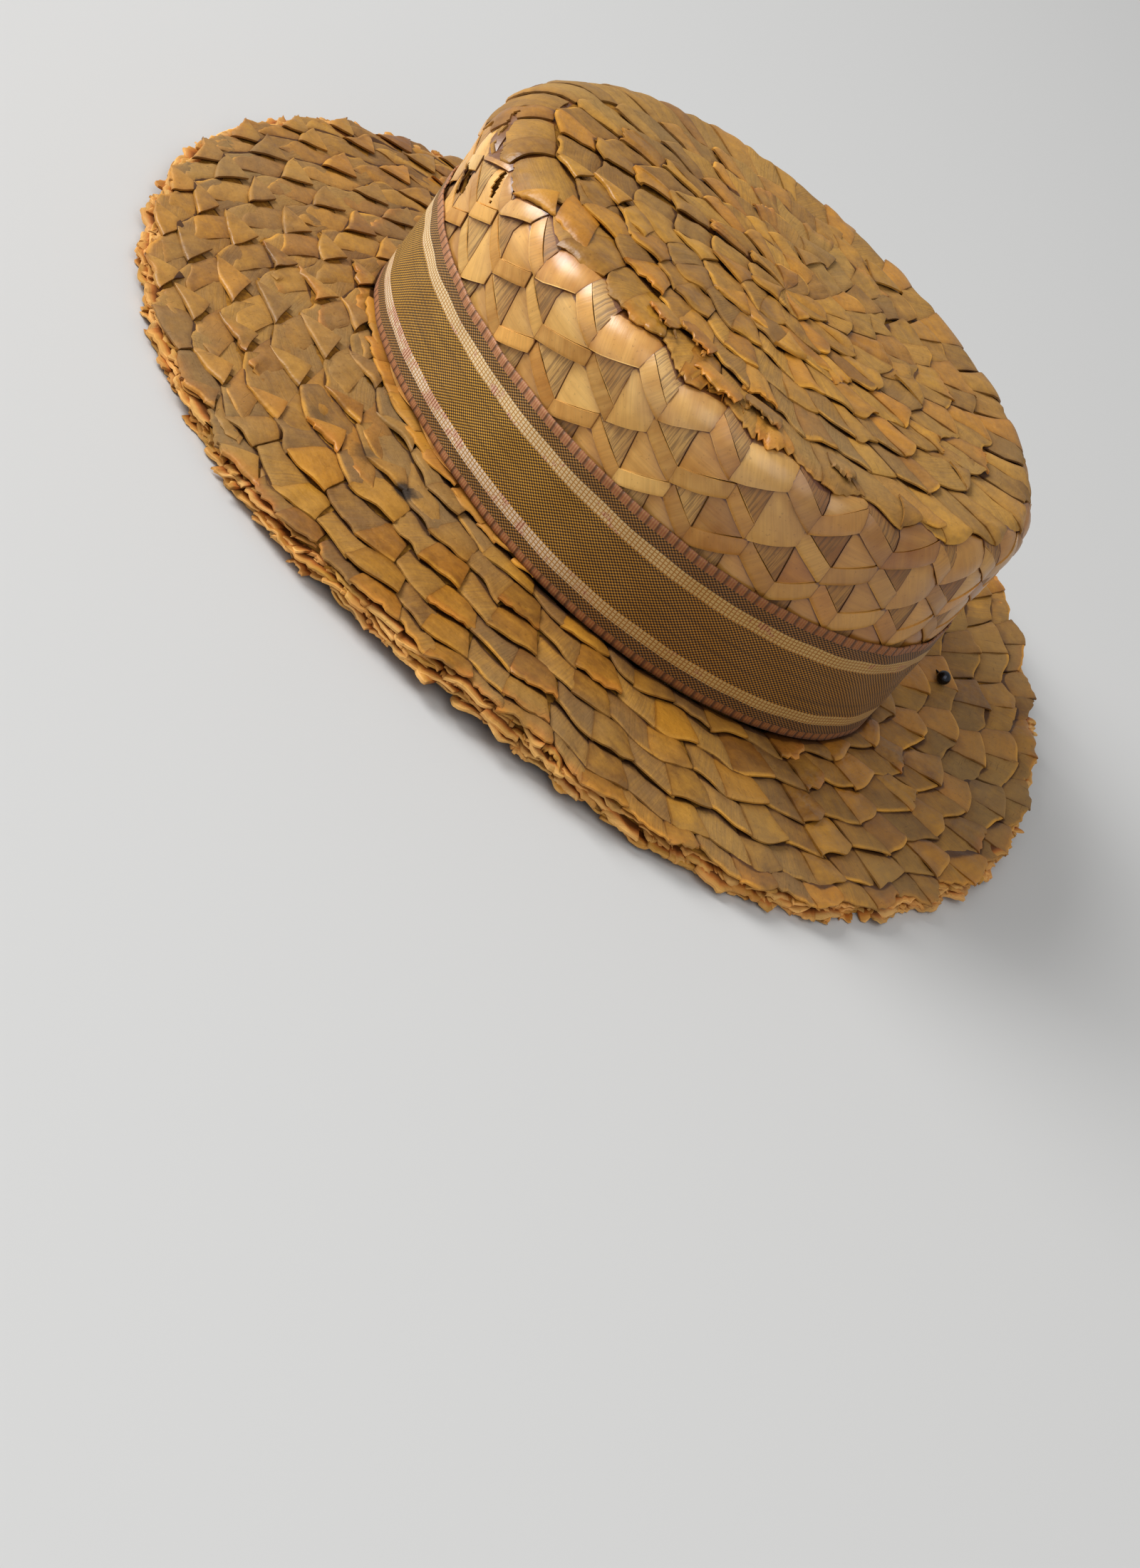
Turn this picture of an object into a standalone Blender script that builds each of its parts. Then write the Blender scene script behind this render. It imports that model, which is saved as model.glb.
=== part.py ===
"""A handmade straw skimmer: an oval crown, a wide ragged brim, a ribbon band and a ball-headed pin.

Both straw pieces are walls of flat plait sewn in overlapping rounds, so each outer face is
a stack of stepped rows whose lower edges are toothed. Metres, +Z up along the crown, front
towards -Y, the wearer's left towards +X, and the hat stands on its brim at z = 0.
"""

import math
from collections import namedtuple

import bmesh
import bpy
import numpy as np
from mathutils import Matrix, Quaternion, Vector

# Wall of the sewn straw, and the clearance between one piece and the next
CROWN_WALL = 0.0022
BRIM_WALL = 0.0026
CLEARANCE = 0.0003

# Crown: the foot of its wall, the ribbon round it and its flat top
CROWN_FOOT = 0.0096
BAND_FOOT = 0.0110
BAND_WIDTH = 0.0380
BAND_THICKNESS = 0.0010
CROWN_HEIGHT = 0.0872
TIP_DOME = 0.0018

# Sections of the crown's outer face, from its foot to the start of the rounded shoulder
Section = namedtuple("Section", "height half_length half_width")
CROWN_SECTIONS = (
    Section(0.0096, 0.0991, 0.0775),
    Section(0.0300, 0.0986, 0.0771),
    Section(0.0490, 0.0982, 0.0775),
    Section(0.0620, 0.0984, 0.0800),
    Section(0.0760, 0.0984, 0.0838),
)

# Radius of the shoulder between side and tip, which is worn rounder at the front
SHOULDER_FRONT = 0.0170
SHOULDER_BACK = 0.0090

# Brim: the ellipse of its mean outline, set a little off the crown's centre
BRIM_HALF_LENGTH = 0.1588
BRIM_HALF_WIDTH = 0.1482
BRIM_SHIFT_X = 0.0021
BRIM_SHIFT_Y = -0.0043
BRIM_DROP_POWER = 1.4

# The brim's edge round the hat: 0 is the front, 90 the wearer's left. extra is how far the
# outline stands outside the ellipse, top the height of its upper face and wall its thickness
Edge = namedtuple("Edge", "angle extra top wall")
BRIM_EDGE = (
    Edge(0, -0.0025, 0.0085, 0.0034),
    Edge(35, -0.0015, 0.0065, 0.0040),
    Edge(60, -0.0005, 0.0052, 0.0052),
    Edge(85, -0.0010, 0.0060, 0.0060),
    Edge(105, -0.0050, 0.0093, 0.0058),
    Edge(120, -0.0065, 0.0100, 0.0055),
    Edge(140, -0.0015, 0.0065, 0.0050),
    Edge(155, 0.0020, 0.0046, 0.0046),
    Edge(180, -0.0015, 0.0042, 0.0042),
    Edge(200, 0.0000, 0.0070, 0.0036),
    Edge(225, -0.0010, 0.0130, 0.0032),
    Edge(250, 0.0070, 0.0150, 0.0032),
    Edge(270, 0.0030, 0.0090, 0.0034),
    Edge(290, 0.0000, 0.0034, 0.0034),
    Edge(315, 0.0000, 0.0036, 0.0036),
    Edge(335, -0.0030, 0.0060, 0.0034),
)

# Rows of plait: how far each lies proud of the next, and how deep its teeth are cut
ROW_STEP = 0.0011
SIDE_ROW_STEP = 0.0006
BRIM_TOOTH = 0.0042
EDGE_TOOTH = 0.0065
TIP_TOOTH = 0.0045
SIDE_TOOTH = 0.0030
SHOULDER_SHARE = 0.50
SHOULDER_TOOTH = 0.40
TOOTH_PEAK = 0.62

# Width of the flat strip under the brim's edge, on which the hat stands
REST_STRIP = 0.0050

# Columns round each piece. A row's teeth are a whole number of columns wide
BRIM_COLUMNS = 120
CROWN_COLUMNS = 88

# Outer edge of each brim row as a share of the brim's width, with the number of its teeth
Row = namedtuple("Row", "place teeth")
BRIM_ROWS = (
    Row(0.17, 24),
    Row(0.34, 24),
    Row(0.51, 30),
    Row(0.67, 30),
    Row(0.83, 40),
    Row(1.00, 40),
)

# Outer edge of each row on the tip as a share of its radius, with the number of its teeth
TIP_ROWS = (
    Row(0.15, 4),
    Row(0.29, 8),
    Row(0.43, 11),
    Row(0.57, 11),
    Row(0.71, 22),
    Row(0.86, 22),
    Row(1.00, 22),
)

# Height of the lower edge of each row on the side, with the number of its teeth
SIDE_ROWS = (
    Row(0.0690, 22),
    Row(0.0605, 22),
    Row(0.0520, 22),
)

# The worn edge's teeth differ in depth from one to the next
EDGE_SEED = 11
EDGE_UNEVEN = 0.45

# Ball-headed pin, stuck aslant through the back of the brim: middle of its ball, and its tip
PIN_HEAD_RADIUS = 0.0022
PIN_SHAFT_RADIUS = 0.0004
PIN_SIDES = 12
PIN_HEAD = (-0.0725, 0.0880, 0.0137)
PIN_POINT = (-0.0860, 0.0705, 0.0058)

# Holes worn through the front of the crown: place on it as angle and height, and size
Hole = namedtuple("Hole", "angle height width length lean")
HOLES = (
    Hole(40, 0.0575, 0.0030, 0.0090, -10),
    Hole(58, 0.0755, 0.0024, 0.0090, -35),
)

STRAW_CROWN = (196, 152, 92)
STRAW_BRIM = (168, 128, 74)
BAND_OLIVE = (122, 96, 48)
PIN_STEEL = (92, 94, 98)


def linear(colour):
    """A colour read off a screen, 0 to 255, as the linear values that a shader takes."""
    values = [c / 255 for c in colour]
    return [v / 12.92 if v <= 0.04045 else ((v + 0.055) / 1.055) ** 2.4 for v in values]


def plain_material(name, colour, roughness, metallic=0.0):
    """One Principled material in a plain colour."""
    material = bpy.data.materials.new(name)
    material.use_nodes = True
    shader = material.node_tree.nodes["Principled BSDF"]
    shader.inputs["Base Color"].default_value = (*linear(colour), 1.0)
    shader.inputs["Roughness"].default_value = roughness
    shader.inputs["Metallic"].default_value = metallic
    return material


def round_edge(column, theta):
    """A column of BRIM_EDGE by angle, read smoothly between its rows and round past 360."""
    angles = np.array([row.angle for row in BRIM_EDGE] + [360.0])
    values = np.array([getattr(row, column) for row in (*BRIM_EDGE, BRIM_EDGE[0])])
    at = np.degrees(theta) % 360.0
    low = np.searchsorted(angles, at, side="right") - 1
    share = (at - angles[low]) / (angles[low + 1] - angles[low])
    ease = 0.5 - 0.5 * np.cos(np.pi * share)
    return values[low] + (values[low + 1] - values[low]) * ease


def column_angles(columns):
    """The angle of each column round the hat, in radians, from the front to the left."""
    return np.arange(columns) * 2.0 * math.pi / columns


def teeth(columns, count):
    """A leaning sawtooth from -0.5 to 0.5 with so many teeth, one value for each column."""
    phase = (np.arange(columns) * count / columns + 0.25) % 1.0
    rise = phase / TOOTH_PEAK
    fall = (1.0 - phase) / (1.0 - TOOTH_PEAK)
    return np.minimum(rise, fall) - 0.5


def crown_halves(height):
    """Half length and half width of the crown's outer face at a height."""
    heights, lengths, widths = np.array(CROWN_SECTIONS).T
    return np.interp(height, heights, lengths), np.interp(height, heights, widths)


def shoulder_radius(theta):
    """The shoulder's radius, from its front value at 0 to its back value at 180 degrees."""
    forward = 0.5 + 0.5 * np.cos(theta)
    return SHOULDER_BACK + (SHOULDER_FRONT - SHOULDER_BACK) * forward**2


def oval(theta, half_length, half_width, height):
    """Points of an upright oval section, front towards -Y."""
    return np.stack(
        [half_width * np.sin(theta), -half_length * np.cos(theta), height + 0.0 * theta],
        axis=-1,
    )


def tip_face(share, theta):
    """The flat top of the crown: share 0 is its centre and 1 the start of the shoulder."""
    radius = shoulder_radius(theta)
    length, width = crown_halves(CROWN_HEIGHT - radius)
    height = CROWN_HEIGHT + TIP_DOME * (1.0 - share**2)
    return oval(theta, share * (length - radius), share * (width - radius), height)


def shoulder_face(share, theta):
    """The rounded edge of the crown, from the tip at 0 to the side at 1."""
    radius = shoulder_radius(theta)
    length, width = crown_halves(CROWN_HEIGHT - radius)
    turn = share * math.pi / 2.0
    inset = radius * (1.0 - np.sin(turn))
    height = CROWN_HEIGHT - radius * (1.0 - np.cos(turn))
    return oval(theta, length - inset, width - inset, height)


def side_face(share, theta):
    """The side of the crown, from the shoulder at 0 to its foot at 1."""
    top = CROWN_HEIGHT - shoulder_radius(theta)
    height = top + (CROWN_FOOT - top) * share
    length, width = crown_halves(height)
    return oval(theta, length, width, height)


def brim_outline(theta):
    """The brim's mean outline, without its teeth, and the height of its upper face there."""
    extra = round_edge("extra", theta)
    points = oval(theta, BRIM_HALF_LENGTH + extra, BRIM_HALF_WIDTH + extra, 0.0)
    points[..., 0] += BRIM_SHIFT_X
    points[..., 1] += BRIM_SHIFT_Y
    points[..., 2] = round_edge("top", theta)
    return points


def brim_face(share, theta):
    """The brim's upper face: share 0 is the head opening and 1 the outer edge."""
    foot = CROWN_FOOT - CLEARANCE
    length, width = crown_halves(CROWN_FOOT)
    inner = oval(theta, length - CROWN_WALL, width - CROWN_WALL, foot)
    outer = brim_outline(theta)
    share = np.broadcast_to(share, theta.shape)[..., None]
    points = inner + (outer - inner) * share
    drop = np.abs(share[..., 0]) ** BRIM_DROP_POWER
    points[..., 2] = foot + (outer[..., 2] - foot) * drop
    return points


def side_share(height, theta):
    """The share of the way down the crown's side at which a height lies."""
    top = CROWN_HEIGHT - shoulder_radius(theta)
    return (top - height) / (top - CROWN_FOOT)


def normals(face, share, theta):
    """Unit normals of a face, worked out from points a little to each side."""
    step = 1e-4
    across = face(share + step, theta) - face(share - step, theta)
    along = face(share, theta + step) - face(share, theta - step)
    found = np.cross(across, along)
    return found / np.linalg.norm(found, axis=-1, keepdims=True)


def ring(face, share, lift, columns):
    """A closed ring of points on a face, lifted off it along its normals."""
    theta = column_angles(columns)
    share = np.broadcast_to(np.asarray(share, float), theta.shape)
    return face(share, theta) + normals(face, share, theta) * np.asarray(lift)[..., None]


def loft(name, rings, material, start=None, end=None, closed=False):
    """A skin through rings of equal length, ended by a pole at each end or joined up."""
    shape = bmesh.new()
    rows = [[shape.verts.new(point) for point in points] for points in rings]
    columns = len(rows[0])
    pairs = list(zip(rows, rows[1:]))
    if closed:
        pairs.append((rows[-1], rows[0]))
    for near, far in pairs:
        for i in range(columns):
            j = (i + 1) % columns
            shape.faces.new((near[i], near[j], far[j], far[i]))
    for pole, row in ((start, rows[0]), (end, rows[-1])):
        if pole is not None:
            point = shape.verts.new(pole)
            for i in range(columns):
                shape.faces.new((point, row[i], row[(i + 1) % columns]))
    bmesh.ops.recalc_face_normals(shape, faces=shape.faces)
    mesh = bpy.data.meshes.new(name)
    shape.to_mesh(mesh)
    shape.free()
    piece = bpy.data.objects.new(name, mesh)
    mesh.materials.append(material)
    return piece


def stepped_rows(face, rows, step, depth, columns):
    """Rings for overlapping rows of plait. Each rises to a toothed edge and drops to the next."""
    rings = []
    for share, count in rows:
        edge = share + depth * teeth(columns, count)
        rings.append(ring(face, edge, step, columns))
        rings.append(ring(face, edge, 0.0, columns))
    return rings


def band_heights():
    """Heights of the ribbon's lower edge, middle and upper edge."""
    return [BAND_FOOT + BAND_WIDTH * share for share in (0.0, 0.5, 1.0)]


def build_crown(material):
    """Tip, shoulder and side as one straw shell with an open foot."""
    theta = column_angles(CROWN_COLUMNS)
    tip_tooth = TIP_TOOTH / CROWN_SECTIONS[0].half_length
    side_tooth = SIDE_TOOTH / (CROWN_HEIGHT - CROWN_FOOT)
    outer = stepped_rows(tip_face, TIP_ROWS[:-1], ROW_STEP, tip_tooth, CROWN_COLUMNS)
    last = teeth(CROWN_COLUMNS, TIP_ROWS[-1].teeth)
    overhang = SHOULDER_SHARE + SHOULDER_TOOTH * last
    outer.append(ring(shoulder_face, overhang, ROW_STEP, CROWN_COLUMNS))
    outer.append(ring(shoulder_face, overhang, 0.0, CROWN_COLUMNS))
    outer.append(ring(shoulder_face, 1.0, 0.0, CROWN_COLUMNS))
    side_rows = [(side_share(height, theta), count) for height, count in SIDE_ROWS]
    outer += stepped_rows(side_face, side_rows, SIDE_ROW_STEP, side_tooth, CROWN_COLUMNS)
    outer += [
        ring(side_face, side_share(height, theta), 0.0, CROWN_COLUMNS)
        for height in reversed(band_heights())
    ]
    foot = ring(side_face, 1.0, 0.0, CROWN_COLUMNS)
    inside = [ring(side_face, 1.0, -CROWN_WALL, CROWN_COLUMNS)]
    inside += [ring(side_face, s, -CROWN_WALL, CROWN_COLUMNS) for s in (0.66, 0.33, 0.0)]
    inside += [ring(shoulder_face, s, -CROWN_WALL, CROWN_COLUMNS) for s in (0.66, 0.33, 0.0)]
    inside += [ring(tip_face, s, -CROWN_WALL, CROWN_COLUMNS) for s in (0.66, 0.33)]
    for points in (foot, inside[0]):
        points[:, 2] = CROWN_FOOT
    top = (0.0, 0.0, CROWN_HEIGHT + TIP_DOME)
    under = (0.0, 0.0, CROWN_HEIGHT + TIP_DOME - CROWN_WALL)
    return loft("crown", [*outer, foot, *inside], material, start=top, end=under)


def build_brim(material):
    """The brim: a ring of stepped rows with a ragged edge, lying flat where it rests."""
    theta = column_angles(BRIM_COLUMNS)
    span = BRIM_HALF_WIDTH - CROWN_SECTIONS[0].half_width
    uneven = 1.0 + EDGE_UNEVEN * np.random.default_rng(EDGE_SEED).uniform(-1, 1, BRIM_COLUMNS)
    edge_share = 1.0 + EDGE_TOOTH / span * teeth(BRIM_COLUMNS, BRIM_ROWS[-1].teeth) * uneven
    upper = [ring(brim_face, s, 0.0, BRIM_COLUMNS) for s in (0.0, 0.07)]
    upper += stepped_rows(
        brim_face, BRIM_ROWS[:-1], ROW_STEP, BRIM_TOOTH / span, BRIM_COLUMNS
    )
    upper.append(ring(brim_face, edge_share, ROW_STEP, BRIM_COLUMNS))
    edge_wall = round_edge("wall", theta)
    lower = []
    rest_share = edge_share - REST_STRIP / span
    for share in (edge_share, rest_share, 0.75, 0.50, 0.20, 0.0):
        wall = BRIM_WALL + (edge_wall - BRIM_WALL) * np.asarray(share) ** 4
        points = brim_face(np.broadcast_to(share, theta.shape), theta)
        points[:, 2] -= wall
        lower.append(points)
    under_edge = np.maximum(brim_outline(theta)[:, 2] - edge_wall, 0.0)
    for points in lower[:2]:
        points[:, 2] = under_edge
    return loft("brim", [*upper, *lower], material, closed=True)


def build_band(material):
    """The ribbon: a thin upright ring close round the crown's side."""
    theta = column_angles(CROWN_COLUMNS)
    reach = CLEARANCE + BAND_THICKNESS
    inner, outer = [], []
    for height in band_heights():
        length, width = crown_halves(height)
        inner.append(oval(theta, length + CLEARANCE, width + CLEARANCE, height))
        outer.append(oval(theta, length + reach, width + reach, height))
    return loft("hat_band", [*inner, *reversed(outer)], material, closed=True)


def build_pin(material):
    """A ball on a thin shaft, turned in one profile about its own axis."""
    length = math.dist(PIN_HEAD, PIN_POINT)
    neck = math.asin(PIN_SHAFT_RADIUS / PIN_HEAD_RADIUS)
    steps = 8
    turns = [math.pi - (math.pi - neck) * i / steps for i in range(steps + 1)]
    profile = [
        (PIN_HEAD_RADIUS * math.sin(turn), PIN_HEAD_RADIUS * math.cos(turn)) for turn in turns
    ]
    profile[0] = (0.0, -PIN_HEAD_RADIUS)
    profile += [(PIN_SHAFT_RADIUS, length - 3 * PIN_SHAFT_RADIUS), (0.0, length)]
    shape = bmesh.new()
    corners = [shape.verts.new((radius, 0.0, along)) for radius, along in reversed(profile)]
    for near, far in zip(corners, corners[1:]):
        shape.edges.new((near, far))
    mesh = bpy.data.meshes.new("pin")
    shape.to_mesh(mesh)
    shape.free()
    piece = bpy.data.objects.new("pin", mesh)
    mesh.materials.append(material)
    screw = piece.modifiers.new("turned", "SCREW")
    screw.steps = screw.render_steps = PIN_SIDES
    screw.use_merge_vertices = True
    screw.merge_threshold = 0.0001
    head, point = Vector(PIN_HEAD), Vector(PIN_POINT)
    piece.location = head
    piece.rotation_mode = "QUATERNION"
    piece.rotation_quaternion = (point - head).to_track_quat("Z", "Y")
    return piece


def cylinder(name, radius, start, end, sides=PIN_SIDES):
    """A cutter from one point to another."""
    start, end = Vector(start), Vector(end)
    shape = bmesh.new()
    bmesh.ops.create_cone(
        shape,
        cap_ends=True,
        segments=sides,
        radius1=radius,
        radius2=radius,
        depth=(end - start).length,
    )
    mesh = bpy.data.meshes.new(name)
    shape.to_mesh(mesh)
    shape.free()
    piece = bpy.data.objects.new(name, mesh)
    piece.location = (start + end) / 2.0
    piece.rotation_mode = "QUATERNION"
    piece.rotation_quaternion = (end - start).to_track_quat("Z", "Y")
    piece.hide_render = True
    piece.display_type = "WIRE"
    return piece


def hole_cutter(name, angle, height, width, length, lean):
    """A flattened cylinder straight through the crown's wall, its long side leaning."""
    theta = np.array([math.radians(angle)])
    reach = crown_halves(height)
    middle = oval(theta, *reach, height)[0]
    outward = Vector((math.sin(theta[0]) / reach[1], -math.cos(theta[0]) / reach[0], 0.0))
    outward.normalize()
    depth = 4.0 * CROWN_WALL
    start, end = Vector(middle) - outward * depth, Vector(middle) + outward * depth
    cutter = cylinder(name, 0.5, start, end, 8)
    turn = outward.to_track_quat("Z", "Y") @ Quaternion((0, 0, 1), math.radians(lean))
    cutter.rotation_quaternion = turn
    cutter.scale = (width, length, 1.0)
    return cutter


def cut(piece, cutter):
    """Takes a cutter out of a piece, with the exact solver."""
    modifier = piece.modifiers.new(cutter.name, "BOOLEAN")
    modifier.operation = "DIFFERENCE"
    modifier.object = cutter


def stand_on_origin(shells, placed, widest):
    """Moves the whole hat sideways until the middle of its widest piece is over the origin."""
    corners = np.array([corner.co for corner in widest.data.vertices])
    middle = (corners.min(axis=0) + corners.max(axis=0)) / 2.0
    aside = Vector((-middle[0], -middle[1], 0.0))
    for piece in shells:
        piece.data.transform(Matrix.Translation(aside))
    for piece in placed:
        piece.location += aside


def main():
    for old in list(bpy.data.objects):
        bpy.data.objects.remove(old, do_unlink=True)
    parts = bpy.data.collections.new("skimmer_hat")
    cutters = bpy.data.collections.new("cutters")
    for group in (parts, cutters):
        bpy.context.scene.collection.children.link(group)

    crown = build_crown(plain_material("crown_straw", STRAW_CROWN, 0.45))
    brim = build_brim(plain_material("brim_straw", STRAW_BRIM, 0.60))
    band = build_band(plain_material("ribbon", BAND_OLIVE, 0.70))
    pin = build_pin(plain_material("steel", PIN_STEEL, 0.30, 1.0))

    holes = [hole_cutter(f"worn_hole_{i}", *row) for i, row in enumerate(HOLES)]
    for cutter in holes:
        cut(crown, cutter)
    channel = cylinder("pin_channel", PIN_SHAFT_RADIUS + CLEARANCE, PIN_HEAD, PIN_POINT)
    cut(brim, channel)
    stand_on_origin((crown, brim, band), (pin, *holes, channel), brim)
    for piece in (crown, brim, band, pin):
        parts.objects.link(piece)
    for cutter in (*holes, channel):
        cutters.objects.link(cutter)


main()
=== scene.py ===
import math
from collections import namedtuple

import bpy
import numpy as np
from bpy.props import FloatProperty, FloatVectorProperty, IntProperty, PointerProperty
from mathutils import Matrix, Vector


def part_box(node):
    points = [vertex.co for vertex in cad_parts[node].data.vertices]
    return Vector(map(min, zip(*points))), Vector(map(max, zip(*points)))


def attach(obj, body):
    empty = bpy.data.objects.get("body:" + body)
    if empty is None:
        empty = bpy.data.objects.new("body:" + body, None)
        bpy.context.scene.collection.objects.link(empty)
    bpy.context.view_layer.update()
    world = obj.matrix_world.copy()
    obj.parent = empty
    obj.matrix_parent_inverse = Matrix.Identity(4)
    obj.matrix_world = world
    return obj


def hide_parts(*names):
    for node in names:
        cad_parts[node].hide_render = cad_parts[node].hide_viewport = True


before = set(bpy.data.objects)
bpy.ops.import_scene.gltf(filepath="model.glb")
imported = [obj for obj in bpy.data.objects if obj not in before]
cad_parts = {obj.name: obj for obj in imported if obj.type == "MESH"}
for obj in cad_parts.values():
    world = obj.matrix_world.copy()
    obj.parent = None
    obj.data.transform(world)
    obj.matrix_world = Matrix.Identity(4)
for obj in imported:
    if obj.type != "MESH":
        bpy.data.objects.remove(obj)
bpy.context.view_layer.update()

bl_info = {
    "name": "Straw Skimmer",
    "version": (1, 0, 0),
    "blender": (4, 5, 0),
    "location": "View3D > Sidebar > Skimmer",
    "description": "Dresses a straw skimmer hat in plaited straw, a woven ribbon and a pin",
    "category": "Add Mesh",
}

# The hat's middle and the heights of its ribbon, read from the frame
band_low, band_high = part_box("hat_band")
crown_low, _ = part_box("crown")
HAT_X = (band_low.x + band_high.x) / 2.0
HAT_Y = (band_low.y + band_high.y) / 2.0
BAND_FOOT, BAND_TOP = band_low.z, band_high.z
CROWN_FOOT = crown_low.z

# Crown: the same sections and shoulder as its solid
CROWN_HEIGHT = 0.0872
TIP_DOME = 0.0018
CROWN_WALL = 0.0022
SHOULDER_FRONT = 0.0170
SHOULDER_BACK = 0.0090
Section = namedtuple("Section", "height half_length half_width")
CROWN_SECTIONS = (
    Section(0.0096, 0.0991, 0.0775),
    Section(0.0300, 0.0986, 0.0771),
    Section(0.0490, 0.0982, 0.0775),
    Section(0.0620, 0.0984, 0.0800),
    Section(0.0760, 0.0984, 0.0838),
)

# Brim: the ellipse of its mean outline and how its edge departs from it round the hat
BRIM_HALF_LENGTH = 0.1588
BRIM_HALF_WIDTH = 0.1482
BRIM_SHIFT_X = 0.0021
BRIM_SHIFT_Y = -0.0043
BRIM_DROP_POWER = 1.4
BRIM_WALL = 0.0026
Edge = namedtuple("Edge", "angle extra top wall")
BRIM_EDGE = (
    Edge(0, -0.0025, 0.0085, 0.0034),
    Edge(35, -0.0015, 0.0065, 0.0040),
    Edge(60, -0.0005, 0.0052, 0.0052),
    Edge(85, -0.0010, 0.0060, 0.0060),
    Edge(105, -0.0050, 0.0093, 0.0058),
    Edge(120, -0.0065, 0.0100, 0.0055),
    Edge(140, -0.0015, 0.0065, 0.0050),
    Edge(155, 0.0020, 0.0046, 0.0046),
    Edge(180, -0.0015, 0.0042, 0.0042),
    Edge(200, 0.0000, 0.0070, 0.0036),
    Edge(225, -0.0010, 0.0130, 0.0032),
    Edge(250, 0.0070, 0.0150, 0.0032),
    Edge(270, 0.0030, 0.0090, 0.0034),
    Edge(290, 0.0000, 0.0034, 0.0034),
    Edge(315, 0.0000, 0.0036, 0.0036),
    Edge(335, -0.0030, 0.0060, 0.0034),
)

# Rows of plait, each by the place of its toothed edge and its number of teeth: a share of the
# brim's or the tip's reach, or a height on the side
Row = namedtuple("Row", "place teeth")
BRIM_ROWS = (
    Row(0.145, 24),
    Row(0.335, 26),
    Row(0.520, 29),
    Row(0.710, 31),
    Row(0.885, 34),
    Row(1.000, 37),
)
TIP_ROWS = (
    Row(0.15, 5),
    Row(0.29, 8),
    Row(0.43, 11),
    Row(0.57, 14),
    Row(0.71, 18),
    Row(0.86, 21),
    Row(1.02, 24),
)
SIDE_ROWS = (
    Row(0.0763, 23),
    Row(0.0639, 23),
    Row(0.0515, 23),
    Row(0.0391, 23),
)
FOOT_ROW = Row(0.0125, 23)

# The angle at which the teeth of the brim's rows are lined up
BRIM_ALIGN = 27.5

# The tip's rows lap over the shoulder by this much at one angle, and less to each side of it
FRONT_LAP = 0.014
FRONT_LAP_ANGLE = 30.0
FRONT_LAP_SPREAD = 65.0

# How far a row's place beyond 1 takes it over the shoulder, in shoulder radii
OVER_SHOULDER = 18.0

# The share of the brim that its lower face's rows cover, and how far straws stay off the floor
UNDER_REACH = 0.955
FLOOR_GAP = 0.0001

# How deep a straw dips under the row that covers it, how far in it takes, and its lowest depth
HIDDEN_SINK = 0.0012
HIDDEN_RANGE = 0.003
HIDDEN_DEEP = 0.0013

# The tear at which a straw's torn look is full, and how far in from its edge that reaches
TORN_FULL = 0.0015
TORN_REACH = 0.004

# Columns and rows of one straw's mesh, by where it lies, and finer where a hole is in it
TIP_GRID = (13, 8)
SIDE_GRID = (7, 6)
BRIM_GRID = (10, 9)
UNDER_GRID = (5, 5)
LAYER_GRID = (13, 6)
STRIP_GRID = (9, 6)
FLAP_GRID = (15, 8)
SLIVER_GRID = (3, 6)
HOLE_GRID = (22, 22)

# The steps of the tip and of the crown's foot, as shares of the brim's and the side's step
TIP_STEP = 0.65
FOOT_STEP = 0.4

# How far straws run on under the row inside theirs, and the dull ones under the straw before
SCALE_UNDERLAP = 0.003
CHEVRON_UNDERLAP = 0.002
DULL_SPREAD = 0.0075

# Where the brim's scales are folded over, and the share of the tip's that are
FOLDED_ANGLE = 12.0
FOLDED_SPREAD = 105.0
TIP_FOLDED = 0.10

# The share of scales with a broken edge, and how deep it is torn
BROKEN_SHARE = 0.10
BROKEN_TEAR = 0.0012

# Torn edges of the last rows: a depth at an angle, falling to nothing over a spread of degrees
Tear = namedtuple("Tear", "depth angle spread")
TIP_TEARS = (Tear(0.0009, 70.0, 60.0), Tear(0.0024, 118.0, 42.0))
BRIM_TEARS = (Tear(0.0008, 0.0, math.inf), Tear(0.0008, 100.0, 90.0))

# How far out the ribbon covers the brim's first row
RIBBON_COVER = 0.0036

# Cores under the straw: how deep their faces lie, how much thinner the crown's is inside, and
# their rings, as shares of the tip, the shoulder and the brim and as heights on the side
CROWN_CORE_DEPTH = 0.0012
CROWN_CORE_INSET = 0.0004
BRIM_CORE_DEPTH = 0.0006
TIP_RINGS = (0.2, 0.5, 0.8, 1.0)
SHOULDER_RINGS = (0.25, 0.5, 0.75, 1.0)
SIDE_RINGS = (0.060, 0.045, 0.03, CROWN_FOOT + 0.0001)
BRIM_RINGS = (0.0, 0.2, 0.4, 0.6, 0.8, 0.95)
CROWN_COLUMNS = 96
BRIM_COLUMNS = 120

# Crumpled layers under the brim's worn edge: their depths as shares of its wall, and how far
# out they stand
Layer = namedtuple("Layer", "depth out")
EDGE_LAYERS = (
    Layer(0.20, 0.0001),
    Layer(0.38, 0.0007),
    Layer(0.56, 0.0010),
    Layer(0.74, 0.0008),
    Layer(0.92, 0.0002),
)

# The number of slivers round the brim's edge, and the longest of them
EDGE_SLIVERS = 130
SLIVER_LENGTH = 0.0050

# The loose strip at the ribbon's foot: its place on the brim, and the angles of its two ends
# and of its fullest part
STRIP_PLACE = 0.07
STRIP_START = 44.0
STRIP_END = 108.0
STRIP_MIDDLE = 74.0

# The ribbon's mesh, its gap to the crown, and how far its worn foot is lifted and where
RIBBON_COLUMNS = 480
RIBBON_ROWS = 32
RIBBON_GAP = 0.0006
RIBBON_LIFT = 0.0024
RIBBON_LIFT_ANGLE = 68.0
RIBBON_LIFT_SPREAD = 55.0

# Where the ribbon's stripes begin and end, as shares of its width
PICOT_LOW, STRIPE_LOW, CENTRE_LOW = 0.065, 0.155, 0.250
CENTRE_HIGH, STRIPE_HIGH, PICOT_HIGH = 0.715, 0.825, 0.925

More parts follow.
